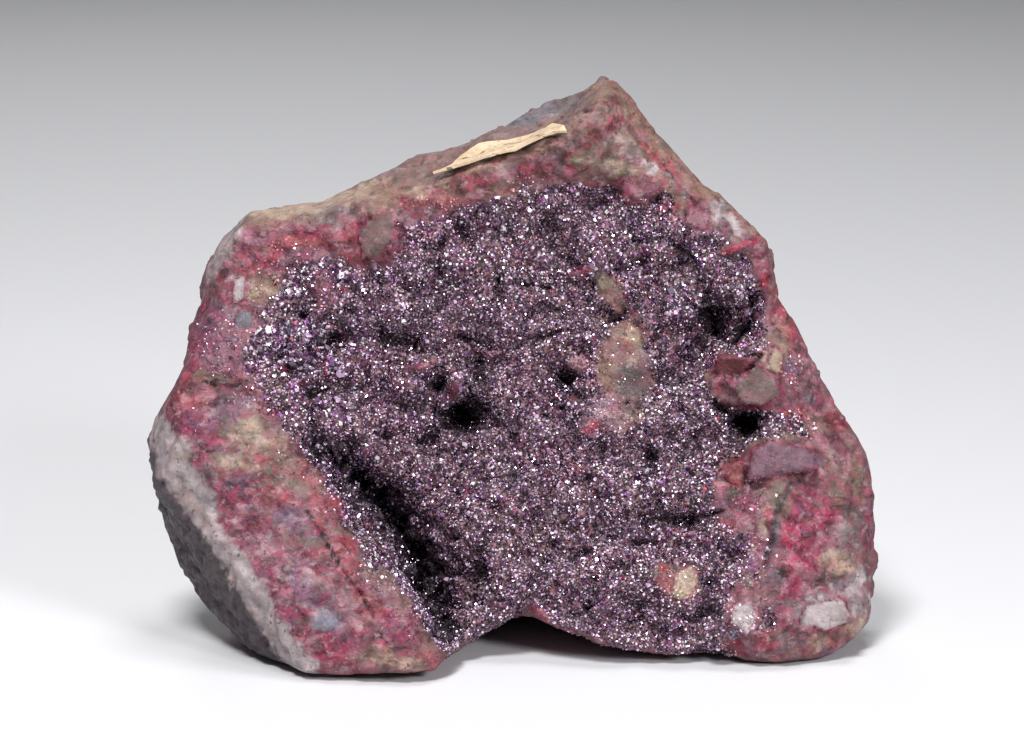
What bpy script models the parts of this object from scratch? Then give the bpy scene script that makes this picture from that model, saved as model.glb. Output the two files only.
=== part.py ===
"""A hand specimen of cinnabar on matrix: a broken block of breccia, the crust of small dark red
crystals that lines the hollow in its face, and the paper label glued on its top.

The stone is described in its face frame, in millimetres: x runs across the broken face, z runs up it
and y runs back into the stone. Its places are those that an eye VIEW_DISTANCE away sees, so a place
further back is really further out, by true_size. The finished solids lean back by FACE_TILT, stand on
z = 0 and are in metres.
"""

import math
import random

import bmesh
import bpy
import numpy as np
from mathutils import Matrix, Vector, noise
from mathutils.bvhtree import BVHTree
from mathutils.geometry import delaunay_2d_cdt

# Driving dimensions, in millimetres
MM = 0.001
FACE_TILT = math.radians(12.0)
VIEW_DISTANCE = 512.0
EYE_HEIGHT = 37.4
FRONT_OF_EVERYTHING = -60.0
GROUND_DEPTH = 20.0
GROUND_REACH = 200.0

# The stone's surface: its mesh, and how strong and how wide its swells, breaks and ledges are
REMESH_CELL = 0.8
STONE_TRIANGLES = 5400
SWELL_STRENGTH, SWELL_CELL = 0.45, 9.0
BREAK_STRENGTH, BREAK_CELL = 0.30, 3.6
LEDGE_STRENGTH, LEDGE_CELL = 0.70, 13.0
LEDGES_A_CELL = 2.0
FACING_FRONT = -0.1
CLAST_BLUNTNESS = 1.5
CLAST_SKEW = 0.35
CLAST_REACH = 1.15

# The crust and its crystals, whose heights and leans are shares of their size
DRUSE_SPACING = 2.1
DRUSE_JITTER = 0.5
DRUSE_SEED = 3
LONGEST_DRUSE_EDGE = 3.4
LINING_SPACING = 3.6
LINING_JITTER = 0.3
LINING_SEED = 7
CLEAR_OF_EDGE = 0.55
CRUST_THICKNESS = 1.2
CRUST_PROUD = 0.15
GAP_BEHIND_CRUST = 0.6
GAP_BESIDE_CRUST = 0.4
CRYSTAL_HEIGHT = (0.35, 0.95)
CRYSTAL_LEAN = 0.16
SMALLEST_CRYSTAL = 0.6

# The label, laid from its left end to its right over the top of the stone
LABEL_LEFT = -9.4
LABEL_FRONT = -2.0
LABEL_UP = 60.0
LABEL_LOWEST = 54.0
LABEL_LENGTH = 16.0
LABEL_END_SLANT = 1.6
LABEL_TURN = 0.8
LABEL_WIDTH = (1.6, 4.8)
LABEL_WIDENS_OVER = 0.4
LABEL_RAGGED = 0.35
LABEL_WAVES = 9.0
LABEL_CURL, LABEL_CURLS_OVER = 0.5, 0.25
LABEL_COLUMNS, LABEL_ROWS = 13, 5
LABEL_REST = 0.9
LABEL_PAPER = 0.3
LABEL_GAP = 0.35

# Plain colours, then roughness and how metallic it shines
BRECCIA = ((0.42, 0.17, 0.16), 0.8, 0.0)
CINNABAR = ((0.16, 0.03, 0.07), 0.3, 0.4)
PAPER = ((0.78, 0.68, 0.45), 0.9, 0.0)

# The silhouette, clockwise from the peak: across, up, and how far back that edge lies
OUTLINE = [
    (11.2, 72.0, 10), (12.8, 71.4, 8), (14.8, 68.3, 7), (16.8, 65.6, 7), (19.8, 62.8, 7),
    (22.0, 60.4, 7), (24.4, 57.5, 6), (26.8, 55.8, 5), (29.0, 54.0, 5), (30.3, 52.4, 6),
    (31.0, 49.2, 6), (31.6, 46.4, 8), (33.2, 43.8, 10), (35.0, 39.6, 11), (36.8, 36.8, 11),
    (38.4, 34.4, 10), (39.8, 31.8, 9), (41.2, 29.2, 8.5), (42.6, 26.2, 8), (43.2, 22.6, 7),
    (43.3, 18.8, 7), (43.2, 7.6, 5), (42.2, 5.8, 2), (40.6, 4.4, 0), (38.2, 2.4, -2.5),
    (32.0, 1.5, -4.5), (27.4, 1.9, -3), (-12.2, 0.0, -13), (-20.6, 0.3, -11.5),
    (-25.4, 0.6, -11), (-28.6, 1.8, -4), (-32.2, 4.4, 1), (-34.2, 6.2, 3), (-36.8, 8.2, 5),
    (-38.0, 10.2, 5.5), (-40.4, 13.0, 7), (-40.6, 15.4, 7.5), (-42.0, 17.6, 8),
    (-42.6, 21.0, 8), (-43.6, 23.2, 8), (-44.0, 26.0, 7.5), (-43.8, 28.6, 7), (-43.0, 31.0, 6),
    (-41.9, 32.6, 6), (-40.9, 34.2, 6), (-40.2, 37.2, 7), (-39.8, 40.6, 8), (-38.6, 43.8, 8.5),
    (-37.1, 46.4, 9), (-36.2, 49.4, 9), (-34.8, 52.0, 9), (-33.4, 54.8, 9), (-31.8, 56.6, 9),
    (-30.6, 57.4, 9), (-28.0, 58.2, 10), (-24.0, 58.3, 9.5), (-19.6, 58.9, 8), (-16.0, 60.0, 8),
    (-13.4, 61.3, 9), (-10.8, 63.0, 11), (-9.2, 64.0, 13), (-6.0, 64.6, 14), (-3.4, 66.0, 15.5),
    (-1.2, 67.0, 17), (1.8, 69.2, 19), (5.8, 70.3, 17), (9.0, 71.3, 14),
]  # fmt: skip

# Edges between the broken faces of the front
FRONT_EDGES = {
    "top ridge": [
        (-31.6, 54.4, 2), (-26.0, 55.2, 1), (-19.4, 56.6, 0), (-14.5, 57.6, -1), (-9.2, 59.6, -3),
        (-1.0, 62.2, -4), (6.6, 65.2, -4), (10.4, 68.2, -2), (11.9, 70.4, 0),
    ],
    "left rim": [(-34.2, 49.5, 1), (-37.4, 40.5, 0), (-38.6, 36.0, -1), (-41.2, 32.4, -2.5)],
    "white band, inner edge": [
        (-40.2, 28.6, -4), (-37.6, 24.5, -5), (-35.0, 20.5, -6), (-34.6, 17.0, -6.5),
        (-32.4, 12.5, -7.5), (-29.6, 8.5, -9), (-26.8, 4.5, -10), (-25.2, 1.8, -11.2),
    ],
    "white band, outer edge": [
        (-42.6, 27.5, -1), (-41.4, 22.8, -1), (-38.6, 17.5, -2), (-36.6, 15.5, -3),
        (-34.2, 11.5, -4), (-31.6, 7.5, -5.5), (-29.2, 4.2, -7),
    ],
    "block edge": [
        (-31.5, 33.5, -1), (-26.5, 30.0, -2.5), (-23.8, 25.5, -4.5), (-21.9, 21.5, -6.5),
        (-20.2, 17.5, -8), (-17.4, 13.4, -9.5), (-14.0, 10.6, -11), (-11.8, 7.2, -12),
        (-10.3, 3.0, -12.5),
    ],
    "crevice": [
        (-21.0, 26.5, 0), (-19.4, 22.8, 3), (-17.2, 18.8, 6), (-14.4, 14.8, 7), (-11.6, 11.6, 6),
        (-9.6, 8.2, 1), (-8.6, 5.0, -5),
    ],
    "crevice, far side": [
        (-16.5, 27.0, 3), (-12.5, 20.5, 2.5), (-8.5, 16.5, 2), (-6.0, 12.5, 1), (-5.0, 8.6, -2),
    ],
    "vug brow": [
        (-12.0, 54.8, -1), (-5.0, 57.8, -1.5), (-1.4, 59.6, -2), (5.8, 60.0, -2),
        (12.7, 60.2, -0.5), (17.6, 58.7, 1), (22.0, 57.2, 2.5),
    ],
    "vug under the brow": [
        (-10.0, 53.6, 1.5), (-4.5, 55.8, 1.5), (5.8, 57.4, 2), (13.5, 57.4, 3), (20.0, 55.4, 4),
    ],
    "right rim": [
        (31.4, 44.5, 6), (33.0, 41.0, 5.5), (34.5, 37.0, 4.5), (36.0, 32.8, 3.5),
        (38.5, 28.6, 2.5), (40.5, 25.0, 1.5), (41.8, 20.0, 1.2), (41.8, 9.0, 0.5),
        (39.6, 5.4, -2), (37.8, 3.4, -3.5),
    ],
}  # fmt: skip

# Single high and low places of the front
FRONT_POINTS = {
    "brow face": [(2.0, 61.4, -3), (9.0, 63.0, -2), (12.4, 66.0, 0.5), (16.0, 62.0, 2.5)],
    "upper left": [(-22.0, 53.0, 0), (-16.2, 53.6, -1.8), (-27.0, 52.0, 1), (-31.0, 46.5, 0.5)],
    "left face": [(-34.0, 40.6, -1), (-35.0, 35.6, -2), (-37.0, 31.5, -3)],
    "pink block": [
        (-33.0, 27.5, -4.5), (-28.0, 24.0, -5.5), (-30.0, 17.0, -7.5), (-24.5, 12.0, -9.8),
        (-20.0, 6.0, -11.6), (-15.0, 4.0, -12.3),
    ],
    "vug floor": [
        (-5.0, 24.0, 0.5), (-2.0, 14.0, -1.5), (1.5, 9.6, -3.5), (6.0, 8.2, -4.5),
        (12.0, 7.2, -5.5), (19.0, 6.4, -6), (25.0, 5.4, -6), (5.0, 20.0, -0.5),
        (12.0, 15.0, -2.5), (17.0, 21.5, -1.5), (21.5, 13.0, -4),
    ],
    "vug middle": [
        (-9.0, 31.0, 2), (-3.0, 29.0, 2.5), (3.0, 28.0, 1), (9.0, 27.0, 0), (15.0, 26.0, 0.5),
        (21.0, 25.0, 0.5), (-16.0, 34.0, 1.5), (-22.0, 36.0, 1), (-27.0, 38.0, 0),
        (-29.0, 41.0, 0.5), (-24.0, 44.0, 1), (-18.0, 43.0, 2), (-12.0, 44.0, 2),
        (-6.0, 42.0, 1.5), (0.0, 39.0, 2.5), (6.0, 40.0, 2), (11.0, 38.0, 0.5),
        (13.0, 32.0, -0.8), (17.0, 38.0, 1.5), (21.0, 35.0, 3),
    ],
    "vug top": [
        (-9.0, 49.5, 2.5), (-2.0, 52.0, 3), (5.0, 52.5, 3.5), (12.0, 53.0, 4), (18.0, 52.0, 4),
        (22.0, 49.0, 5), (27.0, 48.0, 3.5), (29.0, 43.0, 5.5), (24.5, 42.5, 7.5),
        (16.0, 46.0, 4), (10.0, 46.5, 3), (4.0, 46.0, 2.5), (-4.0, 47.0, 2), (24.6, 53.6, 2.5),
        (28.2, 51.4, 3),
    ],
    "right block": [
        (26.0, 33.5, 0), (27.5, 37.0, -0.5), (31.5, 34.0, -1.5), (27.5, 30.0, 4.5),
        (25.8, 25.5, -1.5), (28.0, 28.0, -2), (31.0, 26.0, -3.5), (35.0, 27.0, -1),
        (26.0, 20.0, -2.5), (29.0, 17.5, -4.5), (33.0, 18.0, -5), (37.0, 19.0, -2.5),
        (37.0, 11.5, -4), (32.5, 11.0, -6.5), (28.5, 9.5, -6.5), (32.0, 4.6, -7), (36.0, 5.6, -4.5),
    ],
}  # fmt: skip

# Edges and single places of the base and the back, which the front view doesn't show
BACK_EDGES = {
    "back of the base": [
        (-27.0, 5.0, 15), (-14.0, 6.5, 22), (2.0, 7.2, 26), (18.0, 7.0, 25), (30.0, 6.0, 20),
        (38.0, 6.0, 12),
    ],
    "back ridge": [
        (-24.0, 30.0, 27), (-4.0, 34.0, 33), (12.0, 31.0, 32), (27.0, 27.0, 26),
    ],
}  # fmt: skip
BACK_POINTS = {
    "low back": [(-22.0, 13.0, 24), (-6.0, 16.0, 31), (11.0, 15.0, 32), (26.0, 13.0, 27)],
    "left back": [(-34.0, 15.0, 17), (-37.0, 28.0, 17), (-34.0, 41.0, 18), (-28.0, 51.0, 17)],
    "high back": [
        (-20.0, 45.0, 25), (-13.0, 54.0, 19), (-2.0, 51.0, 30), (1.0, 61.0, 26),
        (12.0, 48.0, 27), (9.0, 62.0, 23), (10.0, 68.0, 17),
    ],
    "right back": [(38.5, 11.0, 14), (38.5, 21.0, 16), (34.0, 33.0, 17), (24.0, 43.0, 21),
                   (19.0, 55.0, 15)],
}  # fmt: skip

# The gap under the stone between its two front feet, as the front shows it
ARCH = [
    (-9.0, -8.0), (-9.0, 1.3), (-7.4, 2.4), (-5.8, 4.6), (-3.8, 5.7), (-1.4, 6.6), (0.4, 7.4),
    (1.5, 8.0), (2.6, 7.0), (4.2, 6.0), (7.3, 5.1), (10.6, 4.4), (14.5, 3.4), (21.0, 2.9),
    (25.0, 2.7), (28.6, 2.2), (31.8, 1.9), (34.0, 1.0), (34.0, -8.0),
]  # fmt: skip
ARCH_BACK = 20.0

# Where the crust covers the face, clockwise from its top left
CRUST_EDGE = [
    (-13.7, 53.6), (-9.6, 55.9), (-5.0, 56.6), (-1.4, 58.5), (5.8, 58.9), (12.7, 59.2),
    (17.2, 57.7), (21.4, 56.4), (23.2, 54.2), (26.8, 51.6), (29.0, 49.4), (30.0, 45.2),
    (30.4, 41.6), (28.8, 38.7), (25.2, 38.0), (23.3, 35.6), (24.5, 32.6), (28.4, 31.6),
    (29.4, 29.9), (27.1, 28.6), (25.0, 26.6), (24.0, 23.0), (25.2, 20.0), (23.5, 15.8),
    (25.2, 12.2), (26.6, 8.8), (27.2, 5.8), (24.6, 5.0), (16.6, 6.0), (10.6, 7.0), (4.6, 8.9),
    (1.6, 10.0), (-1.6, 9.4), (-5.0, 7.8), (-7.8, 6.2), (-9.4, 5.8), (-10.6, 6.6), (-11.8, 8.6),
    (-13.8, 11.4), (-17.0, 14.4), (-19.6, 18.0), (-21.3, 21.8), (-23.2, 25.6), (-25.6, 29.6),
    (-27.6, 33.0), (-31.2, 35.4), (-32.4, 38.0), (-31.0, 41.0), (-29.3, 44.6), (-27.8, 47.9),
    (-24.0, 49.8), (-20.0, 50.3), (-16.4, 49.3), (-13.4, 50.3),
]  # fmt: skip

# Hollows, holes and knobs of the lined face: across, up, half width, half height, turn, depth
HOLLOWS = {
    "hole under the knob": (-6.3, 31.4, 2.0, 2.0, 0, 6.0),
    "hole left of the knob": (-8.7, 35.2, 1.3, 1.2, 0, 3.0),
    "hole right of the knob": (-4.0, 36.4, 1.1, 2.2, 0, 3.0),
    "pit below left": (-10.6, 28.8, 1.8, 1.4, 30, 3.5),
    "crescent slit": (6.6, 35.0, 2.8, 1.0, -38, 3.0),
    "long hollow above": (5.5, 41.6, 4.5, 1.1, 8, 1.8),
    "hollow by the tan patch": (7.0, 36.9, 2.4, 0.9, 35, 1.8),
    "upper hollow": (17.0, 48.6, 3.4, 2.6, 20, 2.6),
    "brow hollow": (11.4, 57.0, 2.2, 1.2, 0, 2.0),
    "brow cleft": (18.4, 56.4, 2.2, 1.0, 55, 2.2),
    "right hollow": (24.4, 42.6, 3.6, 3.4, 0, 3.5),
    "far right hollow": (28.6, 41.0, 2.4, 1.6, 20, 3.0),
    "hole below the clast": (27.4, 30.2, 2.3, 1.2, 0, 4.5),
    "low right slit": (20.6, 19.6, 4.0, 1.0, 4, 2.2),
    "left slit": (-20.5, 40.5, 3.4, 1.1, 15, 1.8),
    "middle slit": (-17.0, 32.4, 3.2, 1.2, -35, 2.0),
    "hollow under the plates": (-24.0, 37.6, 2.6, 1.1, 0, 1.8),
    "pit on the floor": (8.6, 11.4, 1.6, 1.0, -20, 1.4),
    "pit beside the notch": (-5.6, 11.2, 1.4, 2.0, -20, 2.0),
}  # fmt: skip
KNOBS = {
    "hanging knob": (-5.9, 35.3, 1.7, 2.1, 0, 3.6),
    "ledge by the knob": (-10.4, 37.4, 3.0, 0.9, 20, 1.6),
    "swell left of the middle": (-14.0, 39.6, 3.0, 2.0, 0, 1.0),
    "swell over the middle": (-2.0, 44.4, 4.0, 1.6, -8, 1.1),
    "swell of the floor": (2.6, 18.0, 5.0, 3.4, 15, 0.9),
    "lip beside the tan patch": (16.2, 35.6, 0.8, 3.4, 24, 1.4),
    "rosette": (18.4, 42.6, 1.8, 2.0, 0, 1.3),
    "ball at the right": (27.6, 46.4, 2.6, 3.4, 10, 1.6),
    "low lump": (-3.4, 19.6, 2.6, 2.2, 0, 0.8),
    "white clast low down": (20.2, 12.6, 2.2, 2.6, 0, 1.4),
}  # fmt: skip

# Grey angular fragments set in the rock: across, up, half width, half height, turn, how proud, lean
CLASTS = {
    "upper left": (-16.0, 52.8, 2.1, 3.4, -28, 0.8, 0.10),
    "right": (28.6, 34.9, 3.6, 2.4, -22, 1.0, -0.25),
    "right, small": (32.2, 38.0, 1.4, 2.0, -10, 0.8, 0.15),
    "lower right": (31.8, 26.4, 4.4, 2.6, 8, 1.1, -0.20),
    "low": (33.2, 14.0, 1.6, 2.2, 20, 0.7, 0.20),
    "corner": (36.6, 8.0, 3.4, 2.2, 20, 0.7, 0.12),
    "pale, on the block": (-29.6, 28.0, 3.6, 2.0, -18, 0.6, 0.05),
}  # fmt: skip


def link(name, mesh):
    """A new object in the scene that shows this mesh."""
    made = bpy.data.objects.new(name, mesh)
    bpy.context.scene.collection.objects.link(made)
    return made


def mesh_from(name, work):
    """Ends a bmesh and keeps it as a mesh."""
    mesh = bpy.data.meshes.new(name)
    work.to_mesh(mesh)
    work.free()
    return mesh


def flatten_places(groups):
    return [place for group in groups.values() for place in group]


def triangulated(ring, lines, loose):
    """Triangles inside a ring of flat points that keep these lines as edges.

    Returns the points and triangles, with the points that were given first and in their order."""
    flat = list(ring)
    edges = []
    for line in lines:
        first = len(flat)
        flat.extend(line)
        edges.extend((first + i, first + i + 1) for i in range(len(line) - 1))
    flat.extend(loose)
    made = delaunay_2d_cdt([Vector(p) for p in flat], edges, [list(range(len(ring)))], 1, 1e-4)
    points, triangles, origins = made[0], made[2], made[3]
    given = [found[0] if found else None for found in origins]
    return points, triangles, given


def stone_cage():
    """The stone's broken faces as a closed cage: a front sheet and a back sheet on one outline."""
    work = bmesh.new()
    rim = [work.verts.new((x, back, z)) for x, z, back in OUTLINE]
    for edges, places in ((FRONT_EDGES, FRONT_POINTS), (BACK_EDGES, BACK_POINTS)):
        lines = list(edges.values())
        loose = flatten_places(places)
        given = OUTLINE + [place for line in lines for place in line] + loose
        flat_lines = [[(x, z) for x, z, _ in line] for line in lines]
        points, triangles, origins = triangulated(
            [(x, z) for x, z, _ in OUTLINE], flat_lines, [(x, z) for x, z, _ in loose]
        )
        corners = []
        for point, origin in zip(points, origins):
            if origin < len(OUTLINE):
                corners.append(rim[origin])
            else:
                corners.append(work.verts.new((point.x, given[origin][2], point.y)))
        for triangle in triangles:
            work.faces.new([corners[i] for i in triangle])
    bmesh.ops.recalc_face_normals(work, faces=work.faces)
    return link("stone", mesh_from("stone", work))


def arch_cutter():
    """A block of the arch's shape, which runs from in front of the stone to ARCH_BACK."""
    work = bmesh.new()
    near = [work.verts.new((x, FRONT_OF_EVERYTHING, z)) for x, z in ARCH]
    face = work.faces.new(near)
    pushed = bmesh.ops.extrude_face_region(work, geom=[face])["geom"]
    moved = [item for item in pushed if isinstance(item, bmesh.types.BMVert)]
    bmesh.ops.translate(work, verts=moved, vec=(0, ARCH_BACK - FRONT_OF_EVERYTHING, 0))
    bmesh.ops.recalc_face_normals(work, faces=work.faces)
    return link("arch_cutter", mesh_from("arch_cutter", work))


def apply_modifiers(target):
    """Replaces an object's mesh by its evaluated one."""
    graph = bpy.context.evaluated_depsgraph_get()
    mesh = bpy.data.meshes.new_from_object(target.evaluated_get(graph))
    target.modifiers.clear()
    target.data = mesh


def cut(target, cutter):
    """Takes the cutter's space out of the target, and removes the cutter."""
    boolean = target.modifiers.new("cut", "BOOLEAN")
    boolean.object = cutter
    boolean.operation = "DIFFERENCE"
    apply_modifiers(target)
    bpy.data.objects.remove(cutter)


def remesh(target, cell):
    voxels = target.modifiers.new("remesh", "REMESH")
    voxels.mode = "VOXEL"
    voxels.voxel_size = cell
    apply_modifiers(target)


def decimate(target, triangles):
    """Brings a mesh down to about this many triangles, fewest where it is flat."""
    work = bmesh.new()
    work.from_mesh(target.data)
    bmesh.ops.triangulate(work, faces=work.faces)
    work.to_mesh(target.data)
    count = len(work.faces)
    work.free()
    fewer = target.modifiers.new("decimate", "DECIMATE")
    fewer.ratio = min(1.0, triangles / count)
    apply_modifiers(target)


def within(x, z, spot):
    """How far a flat point is into an oval spot, 1 at its middle and 0 well outside, and its own axes."""
    across, up, half_width, half_height, turn = spot[:5]
    angle = math.radians(turn)
    dx, dz = x - across, z - up
    along = (dx * math.cos(angle) + dz * math.sin(angle)) / half_width
    over = (dz * math.cos(angle) - dx * math.sin(angle)) / half_height
    return math.exp(-(along**2 + over**2)), along, over


def clast_shift(x, z, clast):
    """How far forward a fragment's flat face stands at this flat point, or 0 outside its outline."""
    _, along, over = within(x, z, clast)
    proud, lean = clast[5:7]
    reach = abs(along) ** CLAST_BLUNTNESS + abs(over) ** CLAST_BLUNTNESS + CLAST_SKEW * abs(along + over)
    return (proud + lean * along * clast[2]) if reach < CLAST_REACH else 0.0


def broken_height(place):
    """How far out a broken face swells, breaks and steps at a place."""
    swell = SWELL_STRENGTH * noise.fractal(place / SWELL_CELL, 1.0, 2.0, 3)
    sharp = noise.noise((place + Vector((0, 40, 0))) / BREAK_CELL)
    step = math.floor(LEDGES_A_CELL * noise.noise((place + Vector((0, 0, 90))) / LEDGE_CELL))
    return swell + BREAK_STRENGTH * (0.7 - 2.0 * abs(sharp)) + LEDGE_STRENGTH * (0.5 + step)


def roughen(target):
    """Sinks the hollows, raises the knobs and the clasts, and breaks every face into ledges."""
    mesh = target.data
    facing = [v.normal.copy() for v in mesh.vertices]
    for vertex, normal in zip(mesh.vertices, facing):
        x, _, z = vertex.co
        shift = normal * broken_height(vertex.co)
        if normal.y < FACING_FRONT:
            back = sum(hollow[5] * within(x, z, hollow)[0] for hollow in HOLLOWS.values())
            back -= sum(knob[5] * within(x, z, knob)[0] for knob in KNOBS.values())
            back -= sum(clast_shift(x, z, clast) for clast in CLASTS.values())
            shift.y += back
        vertex.co += shift
    mesh.update()


def make_stone():
    """The whole stone with its hollow but without the crust's pocket, as a fine mesh."""
    stone = stone_cage()
    cut(stone, arch_cutter())
    remesh(stone, REMESH_CELL)
    roughen(stone)
    remesh(stone, REMESH_CELL)
    return stone


def surface_of(target):
    """A tree for looking up where a line meets the object's mesh."""
    work = bmesh.new()
    work.from_mesh(target.data)
    tree = BVHTree.FromBMesh(work)
    work.free()
    return tree


def face_depth(tree, x, z):
    """How far back the stone's face lies at a flat point."""
    hit = tree.ray_cast(Vector((x, FRONT_OF_EVERYTHING, z)), Vector((0, 1, 0)))[0]
    return hit.y if hit else None


def resampled(ring, spacing):
    """The ring's corners with points between them about this far apart."""
    made = []
    for i, start in enumerate(ring):
        end = ring[(i + 1) % len(ring)]
        steps = max(1, round(math.dist(start, end) / spacing))
        made.extend(
            (start[0] + (end[0] - start[0]) * k / steps, start[1] + (end[1] - start[1]) * k / steps)
            for k in range(steps)
        )
    return made


def grown(ring, by):
    """The clockwise ring moved outwards by this much."""
    made = []
    for i, (x, z) in enumerate(ring):
        (ax, az), (bx, bz) = ring[i - 1], ring[(i + 1) % len(ring)]
        along = Vector((bx - ax, bz - az)).normalized()
        made.append((x - along.y * by, z + along.x * by))
    return made


def inside(ring, x, z):
    """Whether a flat point is inside the ring."""
    found = False
    for (ax, az), (bx, bz) in zip(ring, ring[1:] + ring[:1]):
        if (az > z) != (bz > z) and x < ax + (z - az) / (bz - az) * (bx - ax):
            found = not found
    return found


def clear_of(ring, x, z, distance):
    return all(math.hypot(x - ax, z - az) > distance for ax, az in ring)


def scattered(ring, spacing, jitter, chance):
    """Points on a loose triangular grid inside the ring, each moved by up to half the jitter's share."""
    jitter = 0.5 * jitter * spacing
    xs, zs = [p[0] for p in ring], [p[1] for p in ring]
    row_height = spacing * math.sqrt(0.75)
    made = []
    for row in range(int((max(zs) - min(zs)) / row_height) + 1):
        for column in range(int((max(xs) - min(xs)) / spacing) + 2):
            x = min(xs) + (column + 0.5 * (row % 2)) * spacing + chance.uniform(-jitter, jitter)
            z = min(zs) + row * row_height + chance.uniform(-jitter, jitter)
            if inside(ring, x, z) and clear_of(ring, x, z, CLEAR_OF_EDGE * spacing):
                made.append((x, z))
    return made


def deepest_near(tree, ring, x, z, reach):
    """The furthest back that the stone's face lies inside the ring and within this reach of a flat point."""
    found = [face_depth(tree, x, z)]
    for share in (0.5, 1.0):
        for k in range(8):
            angle = math.pi / 4 * k
            near = (x + math.cos(angle) * reach * share, z + math.sin(angle) * reach * share)
            if inside(ring, *near):
                found.append(face_depth(tree, *near))
    return max(found)


def add_sheet(work, places, triangles):
    """Adds a triangulated sheet to a bmesh and returns its corners."""
    corners = [work.verts.new(place) for place in places]
    faces = [work.faces.new([corners[i] for i in triangle]) for triangle in triangles]
    return corners, faces


def close_between(work, one, other):
    """Joins two rings of corners, given in the same order, by a wall."""
    for i in range(len(one)):
        j = (i + 1) % len(one)
        work.faces.new((one[i], one[j], other[j], other[i]))


def crust_layout(tree):
    """The crust's edge and the back of its lining, where it faces the stone."""
    ring = resampled(CRUST_EDGE, DRUSE_SPACING)
    loose = scattered(ring, LINING_SPACING, LINING_JITTER, random.Random(LINING_SEED))
    points, triangles, _ = triangulated(ring, [], loose)
    depths = [deepest_near(tree, ring, p.x, p.y, LINING_SPACING) + CRUST_THICKNESS for p in points]
    return ring, points, triangles, depths


def fill_out(work, tree):
    """Splits the long edges of the front's steep places and lays their new corners on the stone's face."""
    for _ in range(2):
        long_edges = [
            edge for edge in work.edges
            if edge.calc_length() > LONGEST_DRUSE_EDGE and all(f.select for f in edge.link_faces)
        ]  # fmt: skip
        split = bmesh.ops.subdivide_edges(work, edges=long_edges, cuts=1)["geom_inner"]
        for corner in split:
            if isinstance(corner, bmesh.types.BMVert):
                corner.co.y = face_depth(tree, corner.co.x, corner.co.z) - CRUST_PROUD
        bmesh.ops.triangulate(work, faces=work.faces)


def raise_crystals(work, ring, chance):
    """Stands a flat-faced crystal on each triangle of the front."""
    for face in [face for face in work.faces if face.select]:
        size = math.sqrt(face.calc_area())
        tip = face.calc_center_median() + face.normal * size * chance.uniform(*CRYSTAL_HEIGHT)
        tip += Vector((chance.uniform(-1, 1), 0, chance.uniform(-1, 1))) * CRYSTAL_LEAN * size
        if size > SMALLEST_CRYSTAL and inside(ring, tip.x, tip.z):
            peak = bmesh.ops.poke(work, faces=[face])["verts"][0]
            peak.co = tip


def make_crust(tree, layout):
    """The crust: a lining of the stone's hollow with crystals on its front."""
    ring, lining, lining_triangles, lining_depths = layout
    chance = random.Random(DRUSE_SEED)
    druse, druse_triangles, _ = triangulated(
        ring, [], scattered(ring, DRUSE_SPACING, DRUSE_JITTER, chance)
    )
    work = bmesh.new()
    front_places = [(p.x, face_depth(tree, p.x, p.y) - CRUST_PROUD, p.y) for p in druse]
    front_corners, front_faces = add_sheet(work, front_places, druse_triangles)
    back_places = [(p.x, depth, p.y) for p, depth in zip(lining, lining_depths)]
    back_corners, _ = add_sheet(work, back_places, lining_triangles)
    close_between(work, front_corners[: len(ring)], back_corners[: len(ring)])
    for face in front_faces:
        face.select = True
    bmesh.ops.recalc_face_normals(work, faces=work.faces)
    fill_out(work, tree)
    raise_crystals(work, ring, chance)
    bmesh.ops.recalc_face_normals(work, faces=work.faces)
    return link("cinnabar_crust", mesh_from("cinnabar_crust", work))


def pocket_cutter(layout):
    """The space that the crust takes from the stone, a gap wider than the crust on every side."""
    ring, lining, lining_triangles, lining_depths = layout
    wide_ring = grown(ring, GAP_BESIDE_CRUST)
    flat = wide_ring + [(p.x, p.y) for p in lining[len(ring) :]]
    places = [(x, depth + GAP_BEHIND_CRUST, z) for (x, z), depth in zip(flat, lining_depths)]
    work = bmesh.new()
    back_corners, _ = add_sheet(work, places, lining_triangles)
    near = [work.verts.new((x, FRONT_OF_EVERYTHING, z)) for x, z in wide_ring]
    close_between(work, back_corners[: len(ring)], near)
    work.faces.new(near)
    bmesh.ops.recalc_face_normals(work, faces=work.faces)
    return link("pocket_cutter", mesh_from("pocket_cutter", work))


def true_size(target):
    """Moves a solid's points from where the eye sees them to where they are."""
    for vertex in target.data.vertices:
        widen = 1.0 + vertex.co.y / VIEW_DISTANCE
        vertex.co.x *= widen
        vertex.co.z = EYE_HEIGHT + (vertex.co.z - EYE_HEIGHT) * widen


def stand_up(target, drop, middle):
    """Leans a solid back by the face's tilt, sets it on the ground over the origin, and makes it metres."""
    lean = Matrix.Rotation(-FACE_TILT, 4, "X")
    place = Matrix.Translation((-middle[0], -middle[1], -drop))
    target.data.transform(Matrix.Scale(MM, 4) @ place @ lean)


def leaned(mesh):
    """A mesh's points as they lie once it leans back, in millimetres."""
    points = np.array([v.co for v in mesh.vertices])
    lean = np.array(Matrix.Rotation(-FACE_TILT, 3, "X"))
    return points @ lean.T


def leaned_foot():
    """The height, as the stone leans, of the corner of the left foot that the ground touches."""
    _, up, back = min(OUTLINE, key=lambda corner: corner[1])
    return up * math.cos(FACE_TILT) - back * math.sin(FACE_TILT)


def ground_cutter():
    """A slab whose top is the surface that the stone stands on."""
    bpy.ops.mesh.primitive_cube_add(size=1.0, location=(0, 0, -GROUND_DEPTH * MM / 2))
    slab = bpy.context.object
    slab.scale = (GROUND_REACH * MM, GROUND_REACH * MM, GROUND_DEPTH * MM)
    bpy.ops.object.transform_apply(location=False, rotation=False, scale=True)
    return slab


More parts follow.
